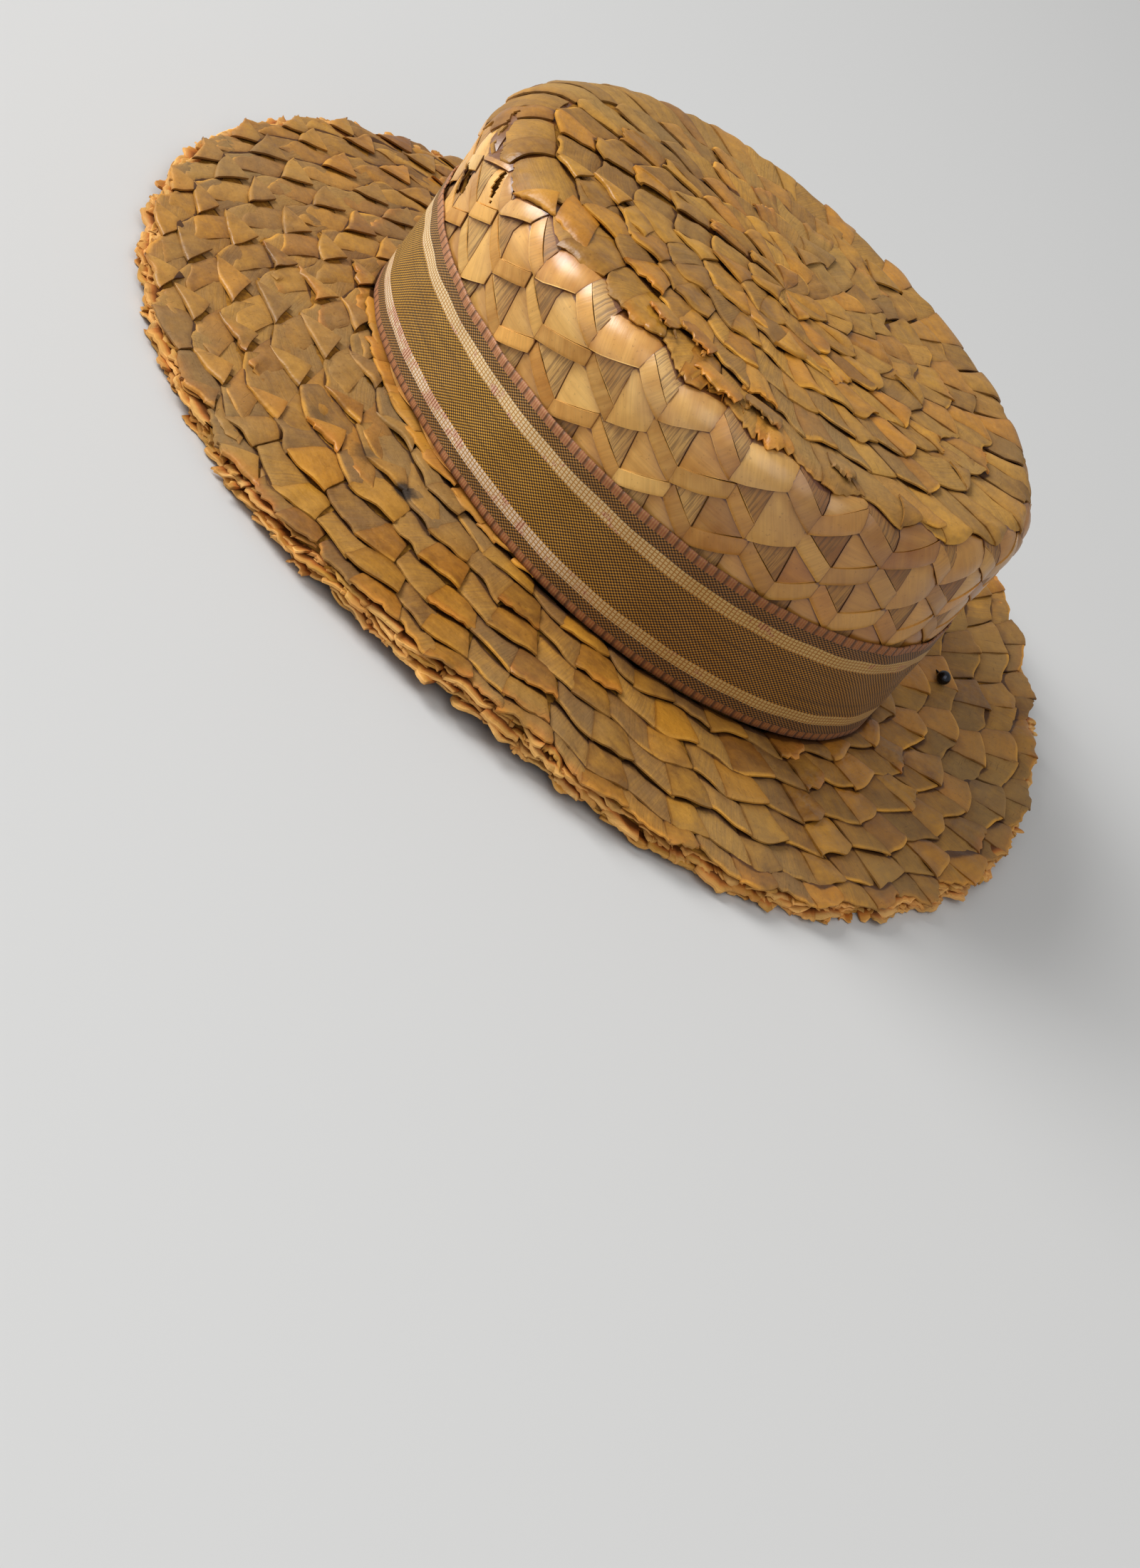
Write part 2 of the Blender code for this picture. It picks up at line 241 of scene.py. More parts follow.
# Worn holes in the crown, by angle, height, half width, half length and lean, and how deep
# they are cut
Hole = namedtuple("Hole", "angle height half_width half_length lean")
HOLES = (Hole(42.0, 0.0606, 0.0062, 0.0050, 0.0), Hole(57.0, 0.0755, 0.0014, 0.0044, -40.0))
HOLE_CUT = 0.012

# Torn flaps along the tip's border, by angle, distance from the tip's middle and width
Flap = namedtuple("Flap", "angle along width")
FLAPS = (
    Flap(97.2, 0.0700, 0.010),
    Flap(104.5, 0.0660, 0.012),
    Flap(113.5, 0.0770, 0.015),
    Flap(123.5, 0.0770, 0.012),
    Flap(141.8, 0.0820, 0.008),
)

# Dark marks on the brim: their places, radii and strengths, and how high they lie
Stain = namedtuple("Stain", "x y radius strength")
STAINS = (
    Stain(0.1063, -0.0304, 0.0050, 0.45),
    Stain(0.1015, -0.0150, 0.0060, 0.60),
    Stain(0.0974, -0.0003, 0.0055, 0.95),
)
STAIN_HEIGHT = 0.009

# What each point of a straw is marked with, for its finish
STRAW_MARKS = ("Shade", "Warm", "Kind", "Torn", "Outer", "Side", "Under")

# Tints of the straw, the ribbon and the steel, as linear colours
WARM_TINT = (1.0, 0.72, 0.36)
STREAK = (0.17, 0.085, 0.03)
GREY_STRAW = (0.27, 0.178, 0.072)
# Lighter lips: partly pale straw edges, partly a painted highlight
LIP_AND_HIGHLIGHT_TINT = (1.36, 1.34, 1.30)
NEAR_SHADE = (0.56, 0.42, 0.26)
# Painted shade towards the back of the crown's side
BACK_SHADE_TINT = (0.56, 0.44, 0.26)
FRESH_STRIPE = (0.88, 0.76, 0.66)
BARE_STRAND = (0.80, 0.50, 0.34)
# Stains on the ribbon, and painted shade towards its back
STAIN_AND_SHADE_TINT = (0.58, 0.44, 0.19)
STEEL_SCRATCH = (0.02, 0.02, 0.024)

# Lights: the side of each square in metres, where it stands from the hat's middle, and the
# height of that middle
Light = namedtuple("Light", "size offset")
KEY_LIGHT = Light(1.3, (0.84, -1.95, 1.4))
FILL_LIGHT = Light(1.2, (0.8, 0.6, 1.1))
LIGHT_AIM_HEIGHT = 0.03

# The floor's side, and its height just under the hat
FLOOR_SIZE = 400.0
FLOOR_HEIGHT = -0.0003

# Camera: its bearing, height angle and roll round the hat, in degrees, its distance in
# metres, how far it is moved aside and up in its own plane, its lens and where it aims
CAMERA_BEARING = 112.76
CAMERA_ELEVATION = 31.39
CAMERA_ROLL = 40.39
CAMERA_DISTANCE = 0.9068
CAMERA_ASIDE = -0.01729
CAMERA_UP = -0.08815
CAMERA_LENS = 70.85
CAMERA_AIM_HEIGHT = 0.0110


def linear(colour):
    """A colour read off a screen, 0 to 255, as the linear values that a shader takes."""
    values = [c / 255 for c in colour]
    return [v / 12.92 if v <= 0.04045 else ((v + 0.055) / 1.055) ** 2.4 for v in values]


def length_prop(name, value, description):
    """A length that a user may change, in metres."""
    return FloatProperty(name=name, description=description, default=value, unit="LENGTH",
                         precision=5)


def colour_prop(name, colour, description):
    """A colour that a user may change, given as it is read off a screen."""
    return FloatVectorProperty(name=name, description=description, default=linear(colour),
                               subtype="COLOR", size=3, min=0.0, max=1.0)


class SkimmerStraw(bpy.types.PropertyGroup):
    """Sizes and colours of the plaited straw."""

    thickness: length_prop("Thickness", 0.0004, "Thickness of one flattened straw")
    pitch: length_prop("Row pitch", 0.0120, "Visible width of a row on the side and tip")
    brim_pitch: length_prop("Brim row pitch", 0.0134, "Visible width of a row on the brim")
    brim_tooth: length_prop("Brim tooth", 0.0021, "Half the depth of a tooth on the brim")
    side_tooth: length_prop("Side tooth", 0.0038, "Half the depth of a tooth on the side")
    brim_step: length_prop("Brim step", 0.0014, "Height of a row's edge over the next row")
    side_step: length_prop("Side step", 0.0008, "Height of a side row's edge over the next")
    crumple: length_prop("Crumple", 0.00028, "Unevenness of the brim's and tip's straws")
    ruffle: length_prop("Ruffle", 0.0005, "Unevenness of the brim's torn edge")
    smooth: length_prop("Smoothness", 0.00004, "Unevenness of the side's straws")
    seed: IntProperty(name="Seed", description="Choice of the uneven straws", default=7)
    brim_light: colour_prop("Brim light", (190, 136, 46), "Light straws of the brim")
    brim_dark: colour_prop("Brim dark", (126, 84, 34), "Dull straws of the brim")
    crown_light: colour_prop("Crown light", (252, 206, 122), "Light straws of the side")
    crown_dark: colour_prop("Crown dark", (180, 124, 56), "Dark straws of the side")
    tip_light: colour_prop("Tip light", (197, 142, 47), "Light straws of the tip")
    tip_dark: colour_prop("Tip dark", (134, 92, 38), "Dull straws of the tip")
    hollow: colour_prop("Hollow", (62, 31, 9), "Shaded straw deep between the rows")
    torn: colour_prop("Torn straw", (196, 112, 44), "Raw inside of a torn straw")
    stain: colour_prop("Stain", (44, 36, 30), "Dark marks on the brim")
    seam: colour_prop("Seam", (98, 48, 14), "Fine lines between the straws of the side")
    # Painted shade: brown red for straw shaded between the layers of the worn edge
    inside: colour_prop("Inside", (172, 92, 34), "Brown red straw inside the worn edge")
    pale: colour_prop("Pale straw", (232, 184, 112), "Cream torn edges of the brim")


class SkimmerRibbon(bpy.types.PropertyGroup):
    """Sizes and colours of the ribbon band."""

    thickness: length_prop("Thickness", 0.0005, "Thickness of the ribbon")
    rib: length_prop("Rib", 0.00125, "Length of the weave along the ribbon")
    across: length_prop("Across", 0.00105, "Length of the weave across the ribbon")
    buckle: length_prop("Buckle", 0.0003, "Unevenness of the worn ribbon")
    picot: length_prop("Picot", 0.0033, "Length of one picot and its gap")
    centre: colour_prop("Centre", (228, 169, 51), "Gold threads in the middle of the ribbon")
    stripe: colour_prop("Stripe", (236, 212, 168), "Pale stripes")
    flank: colour_prop("Flank", (196, 142, 62), "Brown between stripe and edge")
    edge: colour_prop("Edge", (184, 134, 88), "Pinkish picots")
    gap: colour_prop("Gap", (42, 22, 3), "Dark gaps between the threads")
    worn: colour_prop("Worn", (160, 84, 56), "Reddish weft where the stripe is worn")


class SkimmerPin(bpy.types.PropertyGroup):
    """The pin's steel."""

    ball: length_prop("Ball", 0.0022, "Radius of the ball")
    shaft: length_prop("Shaft", 0.0004, "Radius of the shaft")
    steel: colour_prop("Steel", (72, 74, 80), "Dark polished steel")


class SkimmerStage(bpy.types.PropertyGroup):
    """Floor, lights and camera."""

    floor: colour_prop("Floor", (205, 205, 204), "Pale floor")
    key: FloatProperty(name="Key light", description="Power of the main soft light",
                       default=64.0, unit="POWER")
    fill: FloatProperty(name="Fill light", description="Power of the second soft light",
                        default=6.0, unit="POWER")
    sky: FloatProperty(name="Sky", description="Strength of the even light all round",
                       default=0.40)


# Shape of the hat

def round_edge(column, theta):
    """A column of BRIM_EDGE by angle, read smoothly between its rows and round past 360."""
    angles = np.array([row.angle for row in BRIM_EDGE] + [360.0])
    values = np.array([getattr(row, column) for row in (*BRIM_EDGE, BRIM_EDGE[0])])
    at = np.degrees(theta) % 360.0
    low = np.clip(np.searchsorted(angles, at, side="right") - 1, 0, len(BRIM_EDGE) - 1)
    share = (at - angles[low]) / (angles[low + 1] - angles[low])
    ease = 0.5 - 0.5 * np.cos(np.pi * share)
    return values[low] + (values[low + 1] - values[low]) * ease


def crown_halves(height):
    """Half length and half width of the crown's outer face at a height."""
    heights, lengths, widths = np.array(CROWN_SECTIONS).T
    return np.interp(height, heights, lengths), np.interp(height, heights, widths)


def shoulder_radius(theta):
    """The shoulder's radius, from its front value at 0 to its back value at 180 degrees."""
    forward = 0.5 + 0.5 * np.cos(theta)
    return SHOULDER_BACK + (SHOULDER_FRONT - SHOULDER_BACK) * forward**2


def tip_reach(theta):
    """How far the flat tip reaches from its middle at an angle."""
    radius = shoulder_radius(theta)
    length, width = crown_halves(CROWN_HEIGHT - radius)
    return np.hypot((width - radius) * np.sin(theta), (length - radius) * np.cos(theta))


def crown_points(along, theta):
    """Points of the crown's outer face, so far along its profile from the tip's middle."""
    radius = shoulder_radius(theta)
    top_length, top_width = crown_halves(CROWN_HEIGHT - radius)
    reach = tip_reach(theta)
    share = np.clip(along / reach, 0.0, 1.0)
    turn = np.clip((along - reach) / radius, 0.0, math.pi / 2.0)
    down = np.maximum(along - reach - radius * math.pi / 2.0, 0.0)
    height = CROWN_HEIGHT + TIP_DOME * (1.0 - share**2) - radius * (1.0 - np.cos(turn)) - down
    side_length, side_width = crown_halves(height)
    length = np.where(down > 0.0, side_length, (top_length - radius) * share + radius * np.sin(turn))
    width = np.where(down > 0.0, side_width, (top_width - radius) * share + radius * np.sin(turn))
    return np.stack(
        [HAT_X + width * np.sin(theta), HAT_Y - length * np.cos(theta), height], axis=-1
    )


def side_along(height, theta):
    """How far along the crown's profile a height on its side lies."""
    radius = shoulder_radius(theta)
    top = CROWN_HEIGHT - radius
    turn = np.arccos(np.clip(1.0 - (CROWN_HEIGHT - height) / radius, 0.0, 1.0))
    on_side = tip_reach(theta) + radius * math.pi / 2.0 + top - height
    return np.where(height < top, on_side, tip_reach(theta) + radius * turn)


def brim_ends(theta):
    """The brim's inner and outer edge at an angle, as points of its upper face."""
    length, width = crown_halves(CROWN_FOOT)
    length, width = length - CROWN_WALL, width - CROWN_WALL
    extra = round_edge("extra", theta)
    foot = np.full(np.shape(theta), CROWN_FOOT)
    inner = np.stack([width * np.sin(theta), -length * np.cos(theta), foot], axis=-1)
    outer = np.stack([
        BRIM_SHIFT_X + (BRIM_HALF_WIDTH + extra) * np.sin(theta),
        BRIM_SHIFT_Y - (BRIM_HALF_LENGTH + extra) * np.cos(theta),
        round_edge("top", theta),
    ], axis=-1)
    return inner, outer


def brim_width(theta):
    """The brim's width at an angle, seen from above."""
    inner, outer = brim_ends(theta)
    return np.linalg.norm((outer - inner)[..., :2], axis=-1)


def brim_points(along, theta):
    """Points of the brim's upper face, so far out from its inner edge."""
    inner, outer = brim_ends(theta)
    share = along / brim_width(theta)
    points = inner + (outer - inner) * share[..., None]
    drop = np.maximum(share, 0.0) ** BRIM_DROP_POWER
    points[..., 2] = inner[..., 2] + (outer[..., 2] - inner[..., 2]) * drop
    points[..., 0] += HAT_X
    points[..., 1] += HAT_Y
    return points


def brim_under_points(along, theta):
    """Points of the brim's lower face."""
    points = brim_points(along, theta)
    share = np.clip(along / brim_width(theta), 0.0, 1.0)
    wall = BRIM_WALL + (round_edge("wall", theta) - BRIM_WALL) * share**4
    points[..., 2] = np.maximum(points[..., 2] - wall, 0.0)
    return points


def turn_from(middle, theta):
    """The angle from one bearing to another, half a turn at most to either side."""
    return (theta - middle + math.pi) % math.tau - math.pi


def normals(face, along, theta):
    """Unit normals of a face, worked out from points a little to each side."""
    step, turn = 4e-4, 4e-3
    across = face(along + step, theta) - face(along - step, theta)
    beside = face(along, theta + turn) - face(along, theta - turn)
    found = np.cross(across, beside)
    return found / np.maximum(np.linalg.norm(found, axis=-1, keepdims=True), 1e-12)


# Making and finishing a piece

def deselect():
    """Leaves no object selected."""
    bpy.ops.object.select_all(action="DESELECT")


def pick(piece):
    """Makes a piece the active one, with nothing else selected."""
    deselect()
    bpy.context.view_layer.objects.active = piece
    piece.select_set(True)


def add_piece(name, mesh, material):
    """A new piece from a mesh and its finish, picked."""
    mesh.materials.append(material)
    piece = bpy.data.objects.new(name, mesh)
    bpy.context.scene.collection.objects.link(piece)
    pick(piece)
    return piece


def edit_all(operation, **settings):
    """Runs one edit mode operation on the whole mesh of the picked piece."""
    bpy.ops.object.mode_set(mode="EDIT")
    bpy.ops.mesh.select_all(action="SELECT")
    operation(**settings)
    bpy.ops.object.mode_set(mode="OBJECT")


def apply_modifier(piece, kind, **settings):
    """Adds a modifier to the picked piece and applies it."""
    modifier = piece.modifiers.new(kind.lower(), kind)
    for name, value in settings.items():
        setattr(modifier, name, value)
    bpy.ops.object.modifier_apply(modifier=modifier.name)


# Straws as joined tiles

# A tile's four corners and their lifts off the face, how matte it is, how wide its folded lip
# is, the turn of its fibres, how far its middle stands up and its edge out, and how little the
# row over it shades it
Tile = namedtuple("Tile", "corners lifts kind fold fibre puff swell calm",
                  defaults=(0.0001, 0.0, 1.0))

# A row's toothed edge: its place, and each tooth's angle, metres per radian, tip and valley
Zigzag = namedtuple("Zigzag", "place thetas speeds tips valleys")


class Plait:
    """Gathers straw tiles laid on a face, and makes one mesh of them."""

    def __init__(self, face, edge, outward, seed, crumple):
        """Straws go on a face, in rows where edge says; outward is -1 on a lower face."""
        self.face, self.edge, self.outward, self.crumple = face, edge, outward, crumple
        self.random = np.random.default_rng(seed)
        self.points, self.quads, self.backs, self.fibres = [], [], [], []
        self.marks = {mark.lower(): [] for mark in STRAW_MARKS}
        self.count = 0
        self.cover = None
        self.holes = ()
        self.folded = False

    def opened(self, along, theta):
        """Which points lie in one of the worn holes."""
        inside = np.zeros(theta.shape, bool)
        for hole in self.holes:
            middle = math.radians(hole.angle)
            x = turn_from(middle, theta) * self.speed(hole.height, middle)
            y = along - side_along(hole.height, np.array(middle))
            lean = math.radians(hole.lean)
            wide = x * math.cos(lean) + y * math.sin(lean)
            long = y * math.cos(lean) - x * math.sin(lean)
            ragged = 0.12 * np.sin(2600.0 * x + 1700.0 * y)
            inside |= np.abs(wide) / hole.half_width + np.abs(long) / hole.half_length < 1.0 + ragged
        return inside

    def speed(self, place, theta):
        """Metres along a row for each radian."""
        at = np.array([theta - 0.01, theta + 0.01])
        ends = self.face(self.edge(place, at), at)
        return float(np.linalg.norm(ends[1] - ends[0]) / 0.02)

    def zigzag(self, row, phase, tooth, uneven):
        """The toothed edge of a row: each tooth's tip, and the valley before it."""
        random, count = self.random, row.teeth
        thetas = (np.arange(count) + phase + random.uniform(-0.05, 0.05, count))
        thetas = thetas * math.tau / count
        speeds = np.array([self.speed(row.place, theta) for theta in thetas])
        half = speeds * math.pi / count
        fold = np.array([front_share(theta) for theta in thetas]) if self.folded else 0.0
        tips = np.stack([random.uniform(-0.12, 0.10, count) * half,
                         tooth * random.uniform(1.0 - uneven, 1.0 + uneven, count)], -1)
        valleys = np.stack([(-1.0 + random.normal(0.0, 0.06, count) + 0.24 * fold) * half,
                            -tooth * random.uniform(1.0 - uneven, 1.0 + uneven, count)
                            * (1.0 + 0.2 * fold)], -1)
        return Zigzag(row.place, thetas, speeds, tips, valleys)

    def cover_by(self, zigzag):
        """Marks later tiles by how far they lie beyond the toothed edge of a row."""
        angles = np.concatenate([zigzag.thetas + zigzag.tips[:, 0] / zigzag.speeds,
                                 zigzag.thetas + zigzag.valleys[:, 0] / zigzag.speeds])
        offsets = np.concatenate([zigzag.tips[:, 1], zigzag.valleys[:, 1]])

        def reach(theta):
            """How far along the face the toothed edge lies at an angle."""
            offset = np.interp(theta, angles, offsets, period=math.tau)
            return self.edge(zigzag.place, theta) + offset

        self.cover = reach

    def lay(self, theta, place, speed, tile, grid, thickness, torn=0.0):
        """One straw: a curved tile with a closed back, on the face at an angle and place."""
        random = self.random
        columns, rows = grid

        # s runs across the straw and t from its hidden end to its edge, finer near the edge
        s, t = np.meshgrid(np.linspace(0.0, 1.0, columns),
                           1.0 - (1.0 - np.linspace(0.0, 1.0, rows)) ** 1.6)
        corners = np.asarray(tile.corners, float)
        weights = ((1 - s) * (1 - t), s * (1 - t), (1 - s) * t, s * t)
        x, y = sum(w[..., None] * c for w, c in zip(weights, corners)).transpose(2, 0, 1)
        lift = sum(w * height for w, height in zip(weights, tile.lifts))
        reach = np.linalg.norm((corners[2] + corners[3] - corners[0] - corners[1]) / 2.0)
        wide_in = np.linalg.norm(corners[1] - corners[0])
        wide_out = np.linalg.norm(corners[3] - corners[2])

        # Wavy sides, a lip folded down at the edge, a puffed middle and a crumpled surface
        waver = random.normal(0.0, 1.6 * self.crumple, 3)
        x = x + ((1 - s) * waver[0] + s * waver[1]) * np.sin(math.pi * t)
        y = y + tile.swell * 4.0 * s * (1.0 - s) * t
        y = y + waver[2] * np.sin(math.tau * s + waver[0] * 9000.0) * t**2
        outer = (1.0 - t) * reach
        from_edge = np.clip(1.0 - outer / max(tile.fold, 1e-5), 0.0, 1.0)
        lift = lift - tile.fold * 0.8 * (1.0 - np.sqrt(1.0 - from_edge**2 * 0.96))
        lift = lift + tile.puff * (4.0 * s * (1.0 - s) - 0.6) - 0.00008 * (2.0 * s - 1.0) ** 8
        for wave in random.normal(0.0, 420.0, (3, 2)):
            swing = np.sin(x * wave[0] + y * wave[1] + random.uniform(0.0, math.tau))
            lift = lift + self.crumple * 0.7 * swing * (0.1 + 0.9 * t)
        if torn > 0.0:
            y = y + (random.uniform(-1.0, 0.35, columns) * torn)[None, :] * t**3
            x = x + (random.uniform(-0.3, 0.3, columns) * torn)[None, :] * t**2
            lift = lift + (random.uniform(-0.25, 0.25, columns) * torn)[None, :] * t**2

        # Its place on the face, sunk where another row covers it
        angle = theta + x / speed
        along = self.edge(place, angle) + y
        beyond = along - self.cover(angle) if self.cover else along + 1.0
        sunk = HIDDEN_SINK * np.clip(-beyond / HIDDEN_RANGE, 0.0, 1.0)
        lift = np.where(sunk > 0.0, np.maximum(lift - sunk, -HIDDEN_DEEP), lift)
        open_points = self.opened(along, angle)
        if open_points.any() and grid != HOLE_GRID:
            self.lay(theta, place, speed, tile, HOLE_GRID, thickness)
            return

        # A top and an under face off it, joined by a skirt round the rim and closed by one back
        base = self.face(along, angle)
        normal = normals(self.face, along, angle) * self.outward
        top = (base + normal * lift[..., None]).reshape(-1, 3)
        under = (base + normal * (lift - thickness)[..., None]).reshape(-1, 3)
        top[:, 2] = np.maximum(top[:, 2], 2.0 * FLOOR_GAP)
        under[:, 2] = np.maximum(under[:, 2], FLOOR_GAP)
        index = np.arange(rows * columns).reshape(rows, columns)
        rim = np.concatenate([index[0, :-1], index[:-1, -1], index[-1, :0:-1], index[:0:-1, 0]])
        size = rows * columns
        quads = np.stack([index[:-1, :-1], index[1:, :-1], index[1:, 1:], index[:-1, 1:]], -1)
        lower = size + np.arange(len(rim))
        skirt = np.stack([rim, np.roll(rim, -1), np.roll(lower, -1), lower], -1)
        faces = np.concatenate([quads.reshape(-1, 4), skirt])
        back = lower[::-1]
        if open_points.any():
            faces, rim = self.pierced(quads, open_points), index.reshape(-1)
        elif self.outward < 0:
            faces, back = faces[:, ::-1], back[::-1]
        self.points += [top, under[rim]]
        self.quads.append(faces + self.count)
        if not open_points.any():
            self.backs.append(back + self.count)
        self.count += size + len(rim)

        # Marks for its finish, with lengths in millimetres, and its fibres as a turned flat map
        values = {
            "shade": random.uniform() + 0.0 * t,
            "warm": random.uniform() + 0.0 * t,
            "kind": tile.kind + 0.0 * t,
            "torn": min(torn / TORN_FULL, 1.0) * np.clip(1.0 - outer / TORN_REACH, 0.0, 1.0),
            "outer": outer * 1000.0,
            "side": np.minimum(s, 1.0 - s) * (wide_in * (1.0 - t) + wide_out * t) * 1000.0,
            "under": np.clip(beyond, -0.005, 0.05) * 1000.0 * tile.calm,
        }
        for mark, value in values.items():
            self.marks[mark] += [value.reshape(-1), value.reshape(-1)[rim]]
        turned = np.array([[math.cos(tile.fibre), math.sin(tile.fibre)],
                           [-math.sin(tile.fibre), math.cos(tile.fibre)]])
        fibre = np.stack([x, y], -1).reshape(-1, 2) @ turned.T + random.uniform(-9, 9, 2)
        self.fibres += [fibre, fibre[rim]]

    def pierced(self, quads, open_points):
        """Closed faces of a tile without the quads that a hole opens."""
        size = open_points.size
        corners = quads.reshape(-1, 4)
        kept = corners[~open_points.reshape(-1)[corners].any(axis=1)]
        edges = {(int(q[i]), int(q[(i + 1) % 4])) for q in kept for i in range(4)}
        skirt = [(b, a, a + size, b + size) for a, b in edges if (b, a) not in edges]
        return np.concatenate([kept, kept[:, ::-1] + size, np.array(sorted(skirt))])

    def finish(self, name, material):
        """Makes the mesh, with its marks as point attributes and its fibres as a UV map."""
        points = np.concatenate(self.points)
        quads = np.concatenate(self.quads)
        sizes = np.concatenate([np.full(len(quads), 4), [len(back) for back in self.backs]])
        corners = np.concatenate([quads.reshape(-1), *self.backs])
        mesh = bpy.data.meshes.new(name)
        mesh.vertices.add(len(points))
        mesh.vertices.foreach_set("co", points.astype(np.float32).reshape(-1))
        mesh.loops.add(len(corners))
        mesh.loops.foreach_set("vertex_index", corners.astype(np.int32))
        mesh.polygons.add(len(sizes))
        starts = np.concatenate([[0], np.cumsum(sizes)[:-1]])
        mesh.polygons.foreach_set("loop_start", starts.astype(np.int32))
        mesh.update(calc_edges=True)
        mesh.validate()
        for mark, values in self.marks.items():
            layer = mesh.attributes.new(mark, "FLOAT", "POINT")
            layer.data.foreach_set("value", np.concatenate(values).astype(np.float32))
        layer = mesh.uv_layers.new(name="fibres")
        fibres = np.concatenate(self.fibres)
        index = np.empty(len(mesh.loops), np.int32)
        mesh.loops.foreach_get("vertex_index", index)
        layer.data.foreach_set("uv", fibres[index].astype(np.float32).reshape(-1))
        mesh.shade_smooth()
        mesh.set_sharp_from_angle(angle=math.radians(50))
        piece = add_piece(name, mesh, material)
        if self.holes:
            edit_all(bpy.ops.mesh.delete_loose, use_verts=True, use_edges=True, use_faces=False)
        return piece


def bearing(theta, middle, spread):
    """1 at one angle round the hat, falling smoothly to 0 at so many degrees from it."""
    away = abs((math.degrees(theta) - middle + 180.0) % 360.0 - 180.0)
    return 0.5 + 0.5 * math.cos(math.pi * min(away / spread, 1.0))


def front_share(theta):
    """How likely a scale of the brim is folded over, by its angle round the hat."""
    return min(max(2.2 * bearing(theta, FOLDED_ANGLE, FOLDED_SPREAD) - 0.25, 0.0), 1.0)


def teeth(zigzag):
    """Each tooth of a zigzag: its angle, speed, valley before, tip and valley after."""
    count = len(zigzag.thetas)
    for k in range(count):
        after = (k + 1) % count
        turn = (zigzag.thetas[after] - zigzag.thetas[k]) % math.tau
        shift = np.array([turn * zigzag.speeds[k], 0.0])
        yield (zigzag.thetas[k], zigzag.speeds[k], zigzag.valleys[k], zigzag.tips[k],
               zigzag.valleys[after] + shift)


def scales(plait, zigzag, straw, grid, step, pitch, tears=()):
    """A row of scales, each a dull straw and a bright strap, some with a flap folded over both."""
    random = plait.random
    for theta, speed, valley, tip, after in teeth(zigzag):
        share = front_share(theta) if plait.folded else TIP_FOLDED
        folded = random.uniform() < share
        half = 0.5 * (after[0] - valley[0])
        reach = pitch + tip[1] - valley[1] + SCALE_UNDERLAP
        rise = step * (1.0 - 0.8 * share) * random.uniform(0.45, 1.1)
        calm = 1.0 + 2.0 * share
        up = random.normal(0.0, 0.00012, 4)
        jog = random.normal(0.0, 0.0007, (6, 2))

        def level(point, extra=0.0):
            """A point's lift off the face, on the slope from the hidden end up to the tip."""
            return max(rise * (1.0 + (point[1] - tip[1]) / reach), 0.0) + extra

        deep = reach + tip[1]
        split = tip[0] - 0.2 * deep + jog[0, 0]

        # A dull straw, then a strap beside it, or a strap across it with a flap folded over both
        dull = Tile(
            ((valley[0] - DULL_SPREAD, -reach), (after[0] + 0.003 if folded else split, -reach),
             valley + (-0.0006, 0.0), tip + (0.0008, -0.0001)),
            (-0.0006, -0.0006, level(valley, up[0]), level(tip, up[1])),
            random.uniform(0.7, 1.0), 0.0004, random.normal(0.1, 0.15) + 0.5 * math.pi * folded,
            random.uniform(0.0, 0.0003), random.uniform(-0.0003, 0.0006), calm,
        )
        laid = [(dull, 1.2)]
        if folded:
            close = np.array([tip[0] + (0.30 + 0.12 * random.uniform()) * (after[0] - tip[0]),
                              tip[1] - random.uniform(0.0098, 0.0122)])
            raised = random.uniform(0.0007, 0.0014)
            strap = Tile(
                (after + (-0.0138, -0.0125), after + jog[1] + (-0.001, -0.0148),
                 after + (0.0006, -0.0002), after + jog[2] + (1.1 * half, -0.0010)),
                (0.0, 0.0, level(after, 0.0002), level(after, 0.0002 + up[3])),
                random.uniform(0.0, 0.3), 0.0005, random.normal(0.8, 0.15),
                random.uniform(0.0002, 0.0005), random.uniform(0.0, 0.0009), calm,
            )
            fold = Tile(
                (tip + (0.0004, -0.0008), close, tip + (-0.0003, 0.0), after + jog[3] * 0.5),
                (level(tip, 0.0003), level(close, 0.0006 + 0.4 * raised),
                 level(tip, 0.0002 + up[2]), level(after, raised)),
                0.0, 0.0009, random.normal(0.0, 0.2) + 0.5 * math.pi, 0.0003,
                random.uniform(-0.0002, 0.0008), calm,
            )
            laid += [(strap, 1.2), (fold, 1.5)]
        else:
            strap = Tile(
                ((split - 0.0008, -reach), (after[0] - 0.5 * (reach + after[1]) + jog[4, 0], -reach),
                 tip + (-0.0003, 0.0), after + (-0.0006 + 0.5 * jog[5, 0], 0.0004)),
                (-0.0005, -0.0005, level(tip, 0.35 * step + up[2]), level(after, 0.55 * step + up[3])),
                random.uniform(0.0, 0.15), 0.0006, random.normal(0.0, 0.15) + 0.5 * math.pi,
                random.uniform(0.0001, 0.0004), random.uniform(0.0, 0.0010), calm,
            )
            laid.append((strap, 1.4))
        torn = sum(tear.depth * bearing(theta, tear.angle, tear.spread) for tear in tears)
        broken = random.uniform() < BROKEN_SHARE
        for tile, thickness in laid:
            rip = torn * random.uniform(0.3, 1.0)
            if broken and tile is not dull:
                rip = max(rip, BROKEN_TEAR)
            plait.lay(theta, zigzag.place, speed, tile, grid, thickness * straw.thickness, rip)


